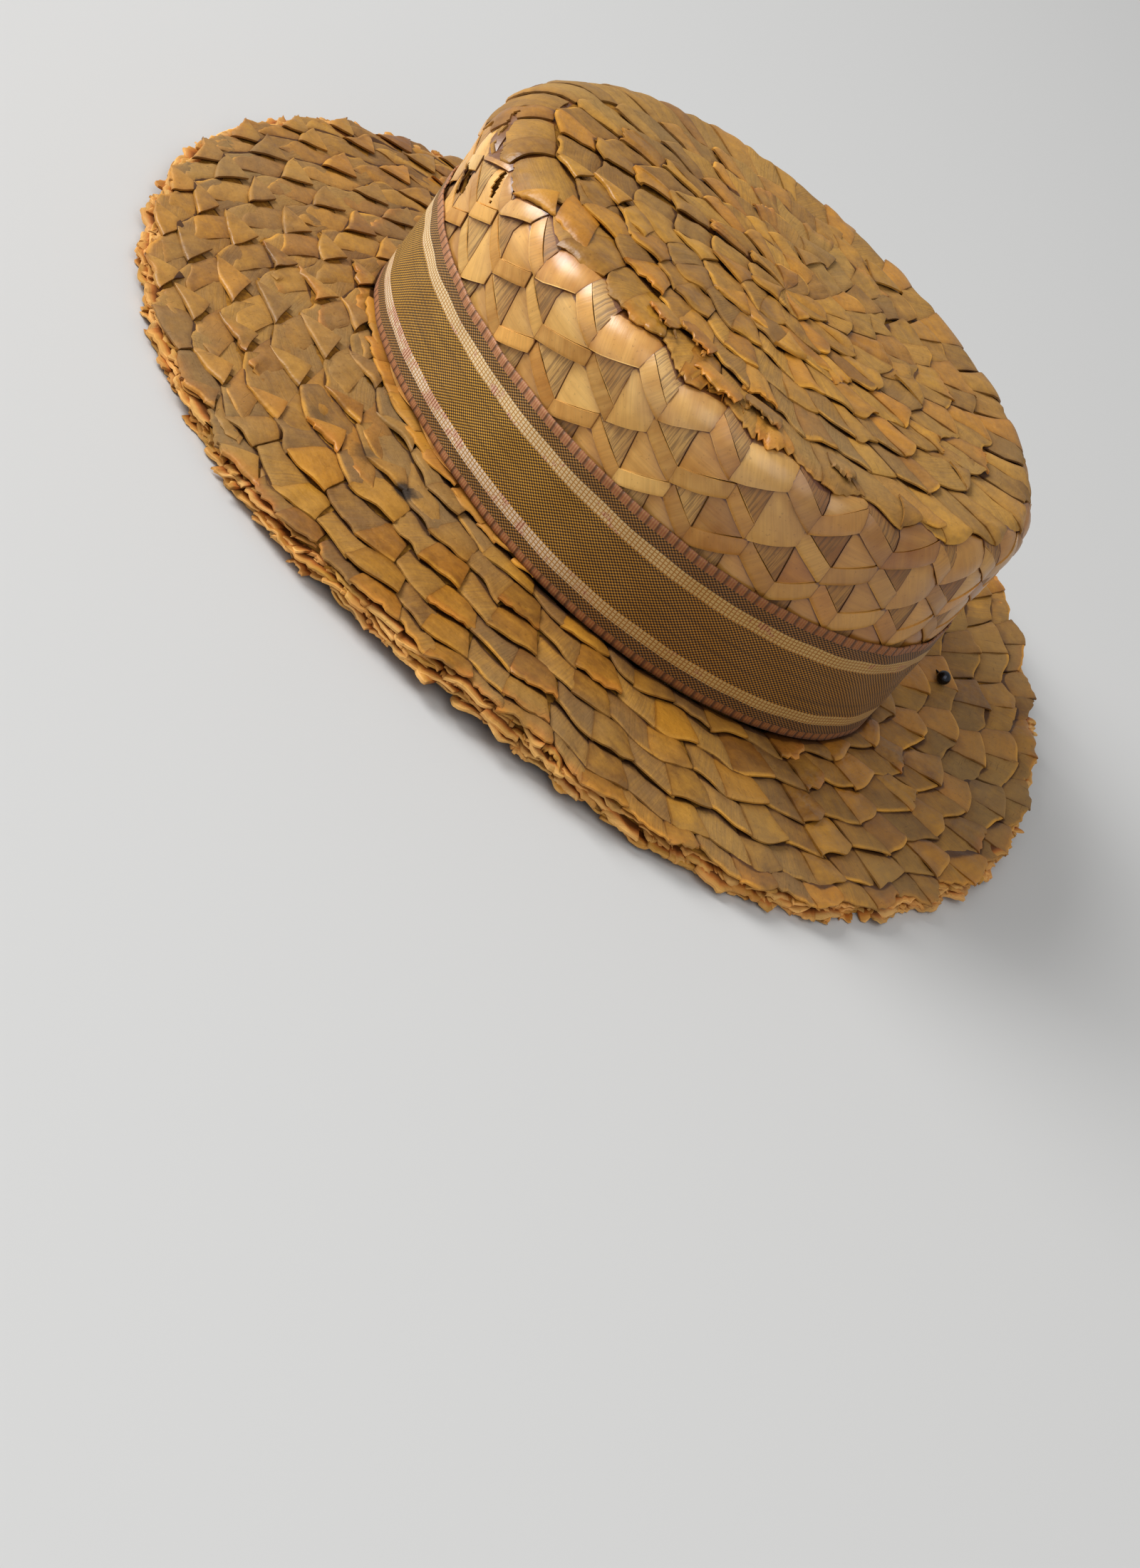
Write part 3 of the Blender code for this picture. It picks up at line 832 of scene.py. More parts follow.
def chevrons(plait, zigzag, straw, grid, step, broad_share=0.3):
    """A row of flat plait: bent straps below kites that are half matte and half glossy."""
    random = plait.random
    for theta, speed, valley, tip, after in teeth(zigzag):
        half = 0.5 * (after[0] - valley[0])
        wide = 0.42 + 0.12 * bearing(theta, 150.0, 70.0) + random.uniform(-0.04, 0.05)
        rise = np.array([0.0, -straw.pitch * wide])
        reach = straw.pitch + tip[1] - valley[1] + CHEVRON_UNDERLAP
        gap = np.array([0.0, 0.00025])
        middle = tip[0] - random.uniform(0.08, 0.22) * half
        slope = math.atan2(tip[1] - valley[1], half)

        # The kite's matte and glossy halves, the bent strap's two sides, and here and there one
        # broad straw for the right half
        matte = Tile(
            ((valley[0], -reach), (middle, -reach), valley + rise - gap,
             tip + rise - gap - (0.00015, 0.0)),
            (-0.0006, -0.0006, step * 0.3, step * 0.3), 1.0, 0.00008, 0.08, 0.00004,
        )
        gloss = Tile(
            ((middle + 0.0002, -reach), (after[0], -reach), tip + rise - gap + (0.00015, 0.0),
             after + rise - gap),
            (-0.0005, -0.0005, step * 0.7, step * 0.5), 0.0, 0.0002, 0.5 * math.pi,
            0.00058,
        )
        left = Tile((valley + rise, tip + rise, valley, tip),
                    (step * 0.5, step * 0.7, step * 0.6, step * 0.9), 0.05, 0.00022,
                    slope, 0.00056)
        right = Tile((tip + rise - (0.0004, 0.0), after + rise, tip - (0.0004, 0.0), after),
                     (step * 0.8, step, step * 1.0, step), 0.0, 0.00022, -slope, 0.00060)
        laid = [matte, gloss, left, right]
        if random.uniform() < broad_share:
            broad = Tile(((middle, -reach), (after[0], -reach), tip - (0.0006, 0.0), after),
                         (-0.0005, -0.0005, step, step), 0.0, 0.0002, -slope, 0.0008)
            laid = [matte, left, broad]
        for tile in laid:
            plait.lay(theta, zigzag.place, speed, tile, grid, straw.thickness)


def lay_rows(plait, rows, align, turn, tooth, uneven, first, lay):
    """Lays rows from the innermost out, each marked by the toothed edge that covers it."""
    plait.cover = first
    for i, row in enumerate(rows):
        phase = (row.teeth * align / 360.0 + turn * i) % 1.0
        zigzag = plait.zigzag(row, phase, tooth, uneven)
        lay(i, zigzag)
        plait.cover_by(zigzag)


def stack(plait, depth, out):
    """One more torn and crumpled layer of straw under the brim's worn edge."""
    random = plait.random
    theta = random.uniform(0.0, 0.1)
    last = theta + math.tau
    while theta < last:
        speed = plait.speed(1.0, theta)
        length = random.uniform(0.005, 0.016)
        wall = float(round_edge("wall", np.array([theta]))[0])
        if depth * wall > 0.0006:
            low = -depth * wall + random.normal(0.0, 0.00025)
            reach = out + random.uniform(-0.0026, 0.0012)
            slant, tilt = random.uniform(-0.0016, 0.0016), random.normal(0.0, 0.0007)
            tile = Tile(
                ((-0.58 * length, -0.010), (0.58 * length, -0.010),
                 (-0.58 * length, reach - slant), (0.58 * length, reach + slant)),
                (low, low, low - tilt, low + tilt),
                random.uniform(0.0, 0.4), 0.0003, 0.5 * math.pi + random.uniform(-0.4, 0.4),
                random.uniform(-0.0004, 0.0006), random.uniform(-0.0008, 0.0016),
            )
            plait.lay(theta, 1.0, speed, tile, LAYER_GRID, random.uniform(0.0004, 0.0009),
                      random.uniform(0.0002, 0.0013))
        theta += random.uniform(0.75, 1.05) * length / speed


def loose_strip(plait):
    """Torn pale straws on the brim at the foot of the ribbon."""
    random = plait.random
    theta = math.radians(STRIP_START)
    while theta < math.radians(STRIP_END):
        speed = plait.speed(STRIP_PLACE, theta)
        length, near = random.uniform(0.005, 0.013), bearing(theta, STRIP_MIDDLE, 48.0)
        tile = Tile(
            ((-0.6 * length, -0.006), (0.6 * length, -0.006),
             (-0.6 * length, 0.0011 * near + random.uniform(-0.0026, 0.0003)),
             (0.6 * length, 0.0011 * near + random.uniform(-0.0026, 0.0003))),
            (0.0024, 0.0024, 0.0017, 0.0019 + random.uniform(-0.0004, 0.0006)),
            random.uniform(0.0, 0.3), 0.0005, random.uniform(-0.3, 0.3),
            random.uniform(0.0, 0.0004), random.uniform(0.0, 0.0008),
        )
        plait.lay(theta, STRIP_PLACE, speed, tile, STRIP_GRID, 0.0004,
                  random.uniform(0.0001, 0.0007))
        theta += 0.9 * length / speed


def flaps(plait, straw):
    """Torn flaps that stand up along the tip's border, each with a few loose slivers."""
    random = plait.random
    plait.cover = None
    for flap in FLAPS:
        theta = math.radians(flap.angle)
        place = flap.along / float(tip_edge(1.0, np.array(theta)))
        speed, half = plait.speed(place, theta), 0.5 * flap.width
        tile = Tile(
            ((-half, -0.0060), (half, -0.0060), (-1.1 * half, 0.0005), (0.8 * half, 0.0020)),
            (0.0008, 0.0008, 0.0018, 0.0026), 0.1, 0.0006, random.normal(0.4, 0.3), 0.0004, 0.001,
        )
        plait.lay(theta, place, speed, tile, FLAP_GRID, straw.thickness, 0.0013)
        for x in random.uniform(-half, half, int(flap.width * 260)):
            width, length = random.uniform(0.0002, 0.0005), random.uniform(0.0025, 0.0050)
            lean, lift = random.normal(0.0, 0.0014), random.uniform(0.0008, 0.0026)
            sliver = Tile(((x - width, -0.001), (x + width, -0.001), (x + lean - width, length),
                           (x + lean + width, length)), (0.0009, 0.0009, lift, lift),
                          0.0, 0.0003, 0.0, 0.0)
            plait.lay(theta, place, speed, sliver, SLIVER_GRID, 0.0003, 0.0005)


def frays(plait):
    """Thin torn slivers of straw along the brim's edge, more of them where it is thick."""
    random = plait.random
    for theta in np.sort(random.uniform(0.0, math.tau, EDGE_SLIVERS)):
        wall = float(round_edge("wall", np.array([theta]))[0])
        if random.uniform() > 0.35 + 0.65 * min(wall / 0.006, 1.0):
            continue
        speed = plait.speed(1.0, theta)
        low = -random.uniform(0.0, 1.0) * max(wall - 0.0012, 0.0)
        turn = random.normal(0.0, 0.9)
        length = random.uniform(0.003, SLIVER_LENGTH)
        width = random.uniform(0.0003, 0.0011)
        start = np.array([0.0, -0.0035 + random.uniform(-0.001, 0.0012)])
        along = np.array([math.sin(turn), abs(math.cos(turn)) * 0.8]) * length
        aside = np.array([math.cos(turn), -math.sin(turn)]) * width
        tip_lift = low + random.normal(0.0, 0.0007)
        tile = Tile((start - aside, start + aside, start + along - 0.3 * aside,
                     start + along + 0.3 * aside), (low, low, tip_lift, tip_lift),
                    0.0, 0.0002, turn, 0.0001)
        plait.lay(theta, 1.0, speed, tile, SLIVER_GRID, 0.00022, 0.0005)


def brim_edge(place, theta):
    """How far out a row of the brim lies, whose place is its share of the brim's width."""
    return place * brim_width(theta)


def tip_edge(place, theta):
    """A row of the tip, whose outer rows reach down over the shoulder at the front left."""
    over = math.radians(FRONT_LAP_SPREAD)
    away = np.abs(turn_from(math.radians(FRONT_LAP_ANGLE), theta))
    lap = FRONT_LAP * (0.5 + 0.5 * np.cos(math.pi * np.minimum(away / over, 1.0)))
    beyond = max(place - 1.0, 0.0)
    return place * (tip_reach(theta) + lap) + beyond * OVER_SHOULDER * shoulder_radius(theta)


# Finishes

def tree_of(*values):
    """The node tree of the first socket among some values."""
    return next(value.id_data for value in values if isinstance(value, bpy.types.NodeSocket))


def join_inputs(node, inputs):
    """Joins a node's inputs to sockets, or sets them to values."""
    for name, value in inputs.items():
        if isinstance(value, bpy.types.NodeSocket):
            node.id_data.links.new(value, node.inputs[name])
        else:
            node.inputs[name].default_value = value


def add_node(tree, kind, inputs=None, **settings):
    """A node with its settings and its inputs."""
    node = tree.nodes.new(kind)
    for name, value in settings.items():
        setattr(node, name, value)
    join_inputs(node, inputs or {})
    return node


def new_material(name):
    """A new material, its node tree and its shader."""
    material = bpy.data.materials.new(name)
    material.use_nodes = True
    return material, material.node_tree, material.node_tree.nodes["Principled BSDF"]


def object_place(tree):
    """The point's place on the piece, in Object coordinates."""
    return add_node(tree, "ShaderNodeTexCoord").outputs["Object"]


def maths(operation, first, second=0.0, third=0.0, clamp=False):
    """The result of one sum on values or sockets."""
    return add_node(tree_of(first, second, third), "ShaderNodeMath",
                    {0: first, 1: second, 2: third}, operation=operation, use_clamp=clamp).outputs[0]


def times(first, second):
    """One value or socket times another."""
    return maths("MULTIPLY", first, second)


def add_times(first, second, third, clamp=False):
    """One value or socket times another, added to a third."""
    return maths("MULTIPLY_ADD", first, second, third, clamp)


def sway(pattern, amount, value):
    """A value moved down and up by so much of a pattern that lies about 0.5."""
    return add_times(maths("SUBTRACT", pattern, 0.5), amount, value)


def blend_colour(factor, first, second, mode="MIX"):
    """A blend of two colours, each a socket or three values."""
    node = add_node(tree_of(factor, first, second), "ShaderNodeMix", data_type="RGBA", blend_type=mode)
    sockets = {socket.identifier: socket for socket in node.inputs}
    for name, value in (("Factor_Float", factor), ("A_Color", first), ("B_Color", second)):
        if isinstance(value, bpy.types.NodeSocket):
            node.id_data.links.new(value, sockets[name])
        else:
            sockets[name].default_value = value if name == "Factor_Float" else (*value, 1.0)
    return next(s for s in node.outputs if s.identifier == "Result_Color")


def spread(value, low, high, to_low=0.0, to_high=1.0, smooth=False):
    """A value's range from low to high, spread over another range."""
    node = add_node(tree_of(value), "ShaderNodeMapRange", {
        "Value": value, "From Min": low, "From Max": high, "To Min": to_low, "To Max": to_high})
    if smooth:
        node.interpolation_type = "SMOOTHSTEP"
    return node.outputs["Result"]


def noise(vector, scale, detail=2.0, roughness=0.5):
    """An uneven pattern, stretched where its scale has three values."""
    tree = tree_of(vector)
    if isinstance(scale, tuple):
        vector = add_node(tree, "ShaderNodeVectorMath", {0: vector, 1: scale},
                          operation="MULTIPLY").outputs[0]
        scale = 1.0
    return add_node(tree, "ShaderNodeTexNoise", {"Vector": vector, "Scale": scale, "Detail": detail,
                                                 "Roughness": roughness}).outputs["Fac"]


def straw_group():
    """Colour, roughness and height of a flattened straw, from its marks and its fibres."""
    tree = bpy.data.node_groups.new("straw_surface", "ShaderNodeTree")
    inputs = [(name, "Vector") for name in ("Fibre", "Place")]
    inputs += [(name, "Float") for name in STRAW_MARKS]
    inputs += [(name, "Color") for name in ("Light", "Dark", "Hollow", "Raw")]
    inputs += [(name, "Float") for name in ("Dust", "Gloss", "Slit_Shade", "Fold", "Seams")]
    for name, kind in inputs:
        tree.interface.new_socket(name, in_out="INPUT", socket_type="NodeSocket" + kind)
    for name, kind in (("Colour", "Color"), ("Roughness", "Float"), ("Height", "Float")):
        tree.interface.new_socket(name, in_out="OUTPUT", socket_type="NodeSocket" + kind)
    given = tree.nodes.new("NodeGroupInput").outputs
    result = tree.nodes.new("NodeGroupOutput").inputs
    fibre, place, hollow = given["Fibre"], given["Place"], given["Hollow"]
    kind, dust, under, side = (given[name] for name in ("Kind", "Dust", "Under", "Side"))

    # Patterns along the fibres and over the hat
    lines = noise(fibre, (1500.0, 60.0, 1.0), 3.0, 0.6)
    broad = noise(fibre, (420.0, 50.0, 1.0), 2.0)
    blotch = noise(place, 85.0, 3.0, 0.6)
    patch = noise(place, 19.0, 2.0)
    specks = noise(place, 900.0, 2.0, 0.7)
    mottle = noise(place, 260.0, 2.0, 0.6)
    wrinkle = noise(place, 330.0, 2.0, 0.6)

    # Each straw's own tone, between the dark and the light colour, warmer on some
    tone = add_times(given["Shade"], 0.74, 0.20)
    tone = sway(blotch, 1.0, tone)
    tone = sway(broad, 0.5, tone)
    mottle = times(maths("SUBTRACT", mottle, 0.5), dust)
    tone = add_times(mottle, 2.2, tone)
    tone = add_times(kind, -0.20, tone, clamp=True)
    colour = blend_colour(tone, given["Dark"], given["Light"])
    warm = times(spread(given["Warm"], 0.15, 1.0), 0.55)
    warm = times(warm, spread(kind, 0.9, 0.3, 0.15, 1.0))
    colour = blend_colour(warm, colour, WARM_TINT, "MULTIPLY")

    # Dark fibre lines on matte straws, and greyed patches
    matte = add_times(kind, 0.55, 0.10)
    matte = times(matte, spread(dust, 0.0, 0.5, 1.0, 0.35))
    streak = times(spread(lines, 0.54, 0.42), matte)
    colour = blend_colour(streak, colour, STREAK)
    grey = times(dust, spread(patch, 0.40, 0.66))
    grey = add_times(kind, 0.16, grey)
    colour = blend_colour(grey, colour, GREY_STRAW)

    # A pale lip along the folded edge, partly the straw's own pale edge and partly a painted highlight
    # where the fold catches light, on some straws more than on others
    edge = spread(maths("DIVIDE", given["Outer"], given["Fold"]), 1.0, 0.25)
    edge = times(edge, spread(blotch, 0.40, 0.60, 0.15, 0.85))
    edge = times(edge, spread(given["Warm"], 0.3, 0.9, 0.15, 1.0))
    lip_and_highlight = blend_colour(1.0, given["Light"], LIP_AND_HIGHLIGHT_TINT, "MULTIPLY")
    colour = blend_colour(edge, colour, lip_and_highlight)

    # Shade beside and under the neighbours
    near = spread(under, 4.5, 0.0, 0.0, 0.42, True)
    near = maths("MAXIMUM", near, spread(side, 2.2, 0.0, 0.0, 0.30, True))
    colour = blend_colour(near, colour, NEAR_SHADE, "MULTIPLY")

    # Seams between straws, painted shade in the corners between them, raw torn edges, specks of dirt,
    # scratches across the fibres, and a painted shadow as a dark slit where a straw comes out from
    # under the row that covers it
    seam = spread(side, add_times(blotch, 0.6, 0.05), 0.02)
    seam = times(seam, given["Seams"])
    # Painted shade in the corners where a straw meets its neighbour and the row over it
    corner_shade = times(spread(side, 0.9, 0.2), spread(under, 1.3, 0.4))
    raw = times(given["Torn"], spread(blotch, 0.42, 0.60))
    raw = times(raw, 0.55)
    dirt = times(spread(specks, 0.64, 0.72), 0.3)
    scratch = noise(fibre, (110.0, 1900.0, 1.0), 2.0, 0.7)
    some = times(dust, spread(patch, 0.40, 0.60, 0.0, 0.7))
    scratch = times(spread(scratch, 0.63, 0.70), some)
    # Painted shadow: a dark slit along the edge of the row that covers the straw
    slit_shade = times(given["Slit_Shade"], spread(blotch, 0.36, 0.64, 0.25, 1.6))
    slit_shade = spread(maths("DIVIDE", under, slit_shade), 1.0, 0.15, 0.0, 0.85, True)
    for mask, tint in ((seam, hollow), (corner_shade, hollow), (raw, given["Raw"]), (dirt, hollow),
                       (scratch, hollow), (slit_shade, hollow)):
        colour = blend_colour(mask, colour, tint)

    # Gloss and relief
    rough = add_times(kind, 0.22, given["Gloss"])
    rough = add_times(broad, 0.16, rough)
    rough = add_times(grey, 0.5, rough, clamp=True)
    height = times(lines, add_times(kind, 0.7, 0.2))
    height = add_times(blotch, 0.8, height)
    height = add_times(scratch, -1.0, height)
    height = add_times(wrinkle, times(dust, 4.0), height)
    for name, socket in (("Colour", colour), ("Roughness", rough), ("Height", height)):
        tree.links.new(socket, result[name])
    return tree


def straw_material(name, light, dark, gloss, dust, slit_shade, fold, stains=(), hollow=None,
                   inside=None, shine=0.2, back_shade=0.0):
    """A straw finish in its own colours, with stains, and with painted shade darkening its inside
    where it has them.
    """
    straw = bpy.context.scene.skimmer_straw
    group = bpy.data.node_groups.get("straw_surface") or straw_group()
    material, tree, shader = new_material(name)
    place = object_place(tree)
    given = {
        "Fibre": add_node(tree, "ShaderNodeUVMap", uv_map="fibres").outputs["UV"],
        "Place": place, "Light": (*light, 1.0), "Dark": (*dark, 1.0),
        "Hollow": (*(hollow or straw.hollow), 1.0), "Raw": (*straw.torn, 1.0),
        "Dust": dust, "Gloss": gloss, "Slit_Shade": slit_shade, "Fold": fold,
        "Seams": 0.75 if hollow else 0.35,
    }
    for mark in STRAW_MARKS:
        given[mark] = add_node(tree, "ShaderNodeAttribute", attribute_name=mark.lower()).outputs["Fac"]
    surface = add_node(tree, "ShaderNodeGroup", given, node_tree=group)
    colour = surface.outputs["Colour"]
    # Painted shade: the straw is made darker and browner towards the hat's back, where less light
    # falls
    back = add_node(tree, "ShaderNodeSeparateXYZ", {"Vector": place}).outputs["Y"]
    back_shade_mask = spread(back, 0.02, 0.09, 0.0, back_shade, True)
    colour = blend_colour(back_shade_mask, colour, BACK_SHADE_TINT, "MULTIPLY")
    smudge = noise(place, 160.0, 4.0, 0.7)
    for stain in stains:
        away = add_node(tree, "ShaderNodeVectorMath",
                        {0: place, 1: (stain.x, stain.y, STAIN_HEIGHT)},
                        operation="DISTANCE").outputs["Value"]
        away = add_times(smudge, 1.1 * stain.radius, away)
        mask = spread(away, 1.5 * stain.radius, 0.8 * stain.radius, 0.0, stain.strength, True)
        colour = blend_colour(mask, colour, straw.stain)
    if inside is not None:
        # Painted shade between the layers of the worn edge: away from a layer's edge its straw turns
        # brown red and then to the hollow colour
        outer = given["Outer"]
        inside_shade = spread(add_times(smudge, -1.0, outer), 0.2, 1.5, 0.0, 0.8)
        colour = blend_colour(inside_shade, colour, inside)
        colour = blend_colour(spread(outer, 1.8, 3.2, 0.0, 0.8), colour, straw.hollow)
    bump = add_node(tree, "ShaderNodeBump",
                    {"Height": surface.outputs["Height"], "Strength": 0.5, "Distance": 0.0004})
    join_inputs(shader, {
        "Base Color": colour, "Specular IOR Level": shine,
        "Roughness": surface.outputs["Roughness"], "Normal": bump.outputs["Normal"],
    })
    return material


def core_material():
    """Plain straw, for the cores under the plait."""
    straw = bpy.context.scene.skimmer_straw
    material, tree, shader = new_material("straw_core")
    mix = spread(noise(object_place(tree), 700.0, 3.0), 0.35, 0.65, 0.0, 0.5)
    colour = blend_colour(mix, straw.brim_dark, straw.brim_light)
    join_inputs(shader, {"Base Color": colour, "Roughness": 0.8, "Specular IOR Level": 0.1})
    return material


def wave(value, period):
    """A sine wave of a value in metres."""
    return maths("SINE", times(value, math.tau / period))


def between(value, low, high):
    """1 where a value lies between two others."""
    return times(maths("GREATER_THAN", value, low), maths("LESS_THAN", value, high))


def ribbon_material():
    """Woven stripes across the ribbon, with picot edges and a worn stripe."""
    ribbon = bpy.context.scene.skimmer_ribbon
    material, tree, shader = new_material("ribbon_weave")
    uv = add_node(tree, "ShaderNodeUVMap", uv_map="weave").outputs["UV"]
    split = add_node(tree, "ShaderNodeSeparateXYZ", {"Vector": uv}).outputs
    along, across = split["X"], split["Y"]
    coords = object_place(tree)
    side = add_node(tree, "ShaderNodeSeparateXYZ", {"Vector": coords}).outputs
    streaks = noise(uv, (25.0, 900.0, 1.0), 3.0)
    wefts = noise(uv, (900.0, 60.0, 1.0), 2.0)
    wear = noise(uv, (110.0, 160.0, 1.0), 4.0, 0.7)
    stain = noise(coords, 34.0, 3.0)

    # The stripes, by their share of the ribbon's width
    place = maths("DIVIDE", across, BAND_TOP - BAND_FOOT)
    place = sway(wefts, 0.010, place)
    lower = between(place, STRIPE_LOW, CENTRE_LOW)
    upper = between(place, CENTRE_HIGH, STRIPE_HIGH)
    stripes = maths("ADD", lower, upper)
    picots = maths("SUBTRACT", 1.0, between(place, PICOT_LOW, PICOT_HIGH))
    centre = between(place, CENTRE_LOW, CENTRE_HIGH)

    # Gold and brown threads with dark gaps between them
    weave = times(wave(along, ribbon.rib), wave(across, ribbon.across))
    thread = spread(weave, -0.30, 0.55)
    ground = blend_colour(centre, ribbon.flank, ribbon.centre)
    ground = blend_colour(spread(streaks, 0.48, 0.70, 0.0, 0.35), ground, ribbon.gap)
    colour = blend_colour(thread, ribbon.gap, ground)

    # Pale stripes in small squares, worn to reddish threads at the near side's foot
    cell = maths("ABSOLUTE", wave(along, 2.0 * ribbon.rib))
    file = maths("ABSOLUTE", wave(across, 2.0 * ribbon.across))
    square = times(spread(cell, 0.25, 0.55), spread(file, 0.2, 0.5))
    pale = blend_colour(square, ribbon.flank, ribbon.stripe)
    near = times(spread(side["X"], 0.035, 0.06), spread(side["Y"], 0.055, 0.03))
    near = times(lower, near)
    fresh = times(times(near, square), 0.7)
    pale = blend_colour(fresh, pale, FRESH_STRIPE)
    worn = times(spread(wear, 0.52, 0.57), near)
    few = times(spread(wear, 0.60, 0.64), stripes)
    worn = times(maths("MAXIMUM", worn, few), 0.95)
    strand = spread(maths("ABSOLUTE", wave(along, 1.6 * ribbon.rib)), 0.3, 0.8)
    bare = blend_colour(strand, ribbon.worn, BARE_STRAND)
    pale = blend_colour(worn, pale, bare)
    colour = blend_colour(stripes, colour, pale)

    # Picots: blocks of pinkish loops with dark gaps, then stains, and painted shade darkening the
    # ribbon towards the hat's back
    block = spread(wave(along, ribbon.picot), -0.95, -0.5, 0.35, 1.0)
    ribs = spread(wave(along, ribbon.picot / 4.0), -0.5, 0.6, 0.35, 1.0)
    loop = blend_colour(ribs, ribbon.worn, ribbon.edge)
    loop = blend_colour(block, ribbon.gap, loop)
    colour = blend_colour(picots, colour, loop)
    stains_and_back_shade = spread(stain, 0.42, 0.72, 0.0, 0.55)
    # Painted shade: darker towards the hat's back
    stains_and_back_shade = maths("MAXIMUM", stains_and_back_shade, spread(side["Y"], 0.0, 0.07, 0.0, 0.9))
    colour = blend_colour(stains_and_back_shade, colour, STAIN_AND_SHADE_TINT, "MULTIPLY")

    relief = blend_colour(stripes, thread, square)
    relief = blend_colour(picots, relief, times(block, 2.5))
    bump = add_node(tree, "ShaderNodeBump",
                    {"Height": relief, "Strength": 0.8, "Distance": 0.00016})
    join_inputs(shader, {
        "Base Color": colour, "Roughness": spread(thread, 0.0, 1.0, 0.7, 0.42),
        "Sheen Weight": 0.05, "Normal": bump.outputs["Normal"],
    })
    return material


def steel_material():
    """Dark polished steel with faint scratches."""
    pin = bpy.context.scene.skimmer_pin
    material, tree, shader = new_material("dark_steel")
    scratch = noise(object_place(tree), 2500.0, 2.0)
    join_inputs(shader, {
        "Base Color": blend_colour(scratch, pin.steel, STEEL_SCRATCH),
        "Roughness": spread(scratch, 0.3, 0.7, 0.18, 0.34), "Metallic": 1.0,
    })
    return material


# Shells

def loft(name, rings, material, closed=False, start=None, end=None):
    """A skin through rings of equal length, closed on itself or by a point at each end."""
    rings = [np.asarray(points, float) for points in rings]
    columns = len(rings[0])
    points = np.concatenate(rings)
    index = np.arange(len(points)).reshape(len(rings), columns)
    faces = []
    pairs = list(zip(index[:-1], index[1:]))
    if closed:
        pairs.append((index[-1], index[0]))
    for near, far in pairs:
        faces += np.stack([near, np.roll(near, -1), np.roll(far, -1), far], -1).tolist()
    extra = []
    for pole, row, flip in ((start, index[0], False), (end, index[-1], True)):
        if pole is not None:
            top = len(points) + len(extra)
            extra.append(pole)
            pairs = zip(row, np.roll(row, -1))
            faces += [[top, int(b), int(a)] if flip else [top, int(a), int(b)] for a, b in pairs]
    mesh = bpy.data.meshes.new(name)
    mesh.from_pydata([*points.tolist(), *extra], [], faces)
    mesh.validate()
    piece = add_piece(name, mesh, material)
    edit_all(bpy.ops.mesh.normals_make_consistent, inside=False)
    mesh.shade_smooth()
    return piece


def pierce(piece):
    """Cuts the worn holes through the crown's core."""
    for hole in HOLES:
        theta = np.array(math.radians(hole.angle))
        along = side_along(hole.height, theta)
        point = Vector(crown_points(along, theta))
        normal = Vector(normals(crown_points, along, theta))
        aside = Vector((math.cos(theta), math.sin(theta), 0.0))
        down = normal.cross(aside)
        lean = math.radians(hole.lean)
        wide = aside * math.cos(lean) + down * math.sin(lean)
        long = normal.cross(wide)
        deselect()
        bpy.ops.mesh.primitive_cylinder_add(vertices=4, radius=1.0, depth=1.0)
        cutter = bpy.context.object
        turn = Matrix((wide, long, normal)).transposed().to_4x4()
        size = Matrix.Diagonal((hole.half_width, hole.half_length, HOLE_CUT, 1.0))
        cutter.matrix_world = Matrix.Translation(point) @ turn @ size
        bpy.ops.object.transform_apply(location=True, rotation=True, scale=True)
        pick(piece)
        apply_modifier(piece, "BOOLEAN", object=cutter, operation="DIFFERENCE", solver="EXACT")
        bpy.data.objects.remove(cutter)


def ring(face, reach, lift, columns):
    """Points round a face where reach says, lifted off it."""
    theta = np.arange(columns) * math.tau / columns
    along = reach(theta)
    return face(along, theta) + normals(face, along, theta) * lift


def crown_rings(depth):
    """Rings at a depth under the crown's outer face, from its tip to its foot."""
    places = [lambda t, s=s: s * tip_reach(t) for s in TIP_RINGS]
    places += [lambda t, s=s: tip_reach(t) + s * shoulder_radius(t) * math.pi / 2.0
               for s in SHOULDER_RINGS]
    places += [lambda t, h=h: side_along(h, t) for h in SIDE_RINGS]
    return [ring(crown_points, place, -depth, CROWN_COLUMNS) for place in places]


def brim_rings(face, lift):
    """Rings off one face of the brim, from its inner edge out."""
    return [ring(face, lambda t, s=s: s * brim_width(t), lift, BRIM_COLUMNS) for s in BRIM_RINGS]


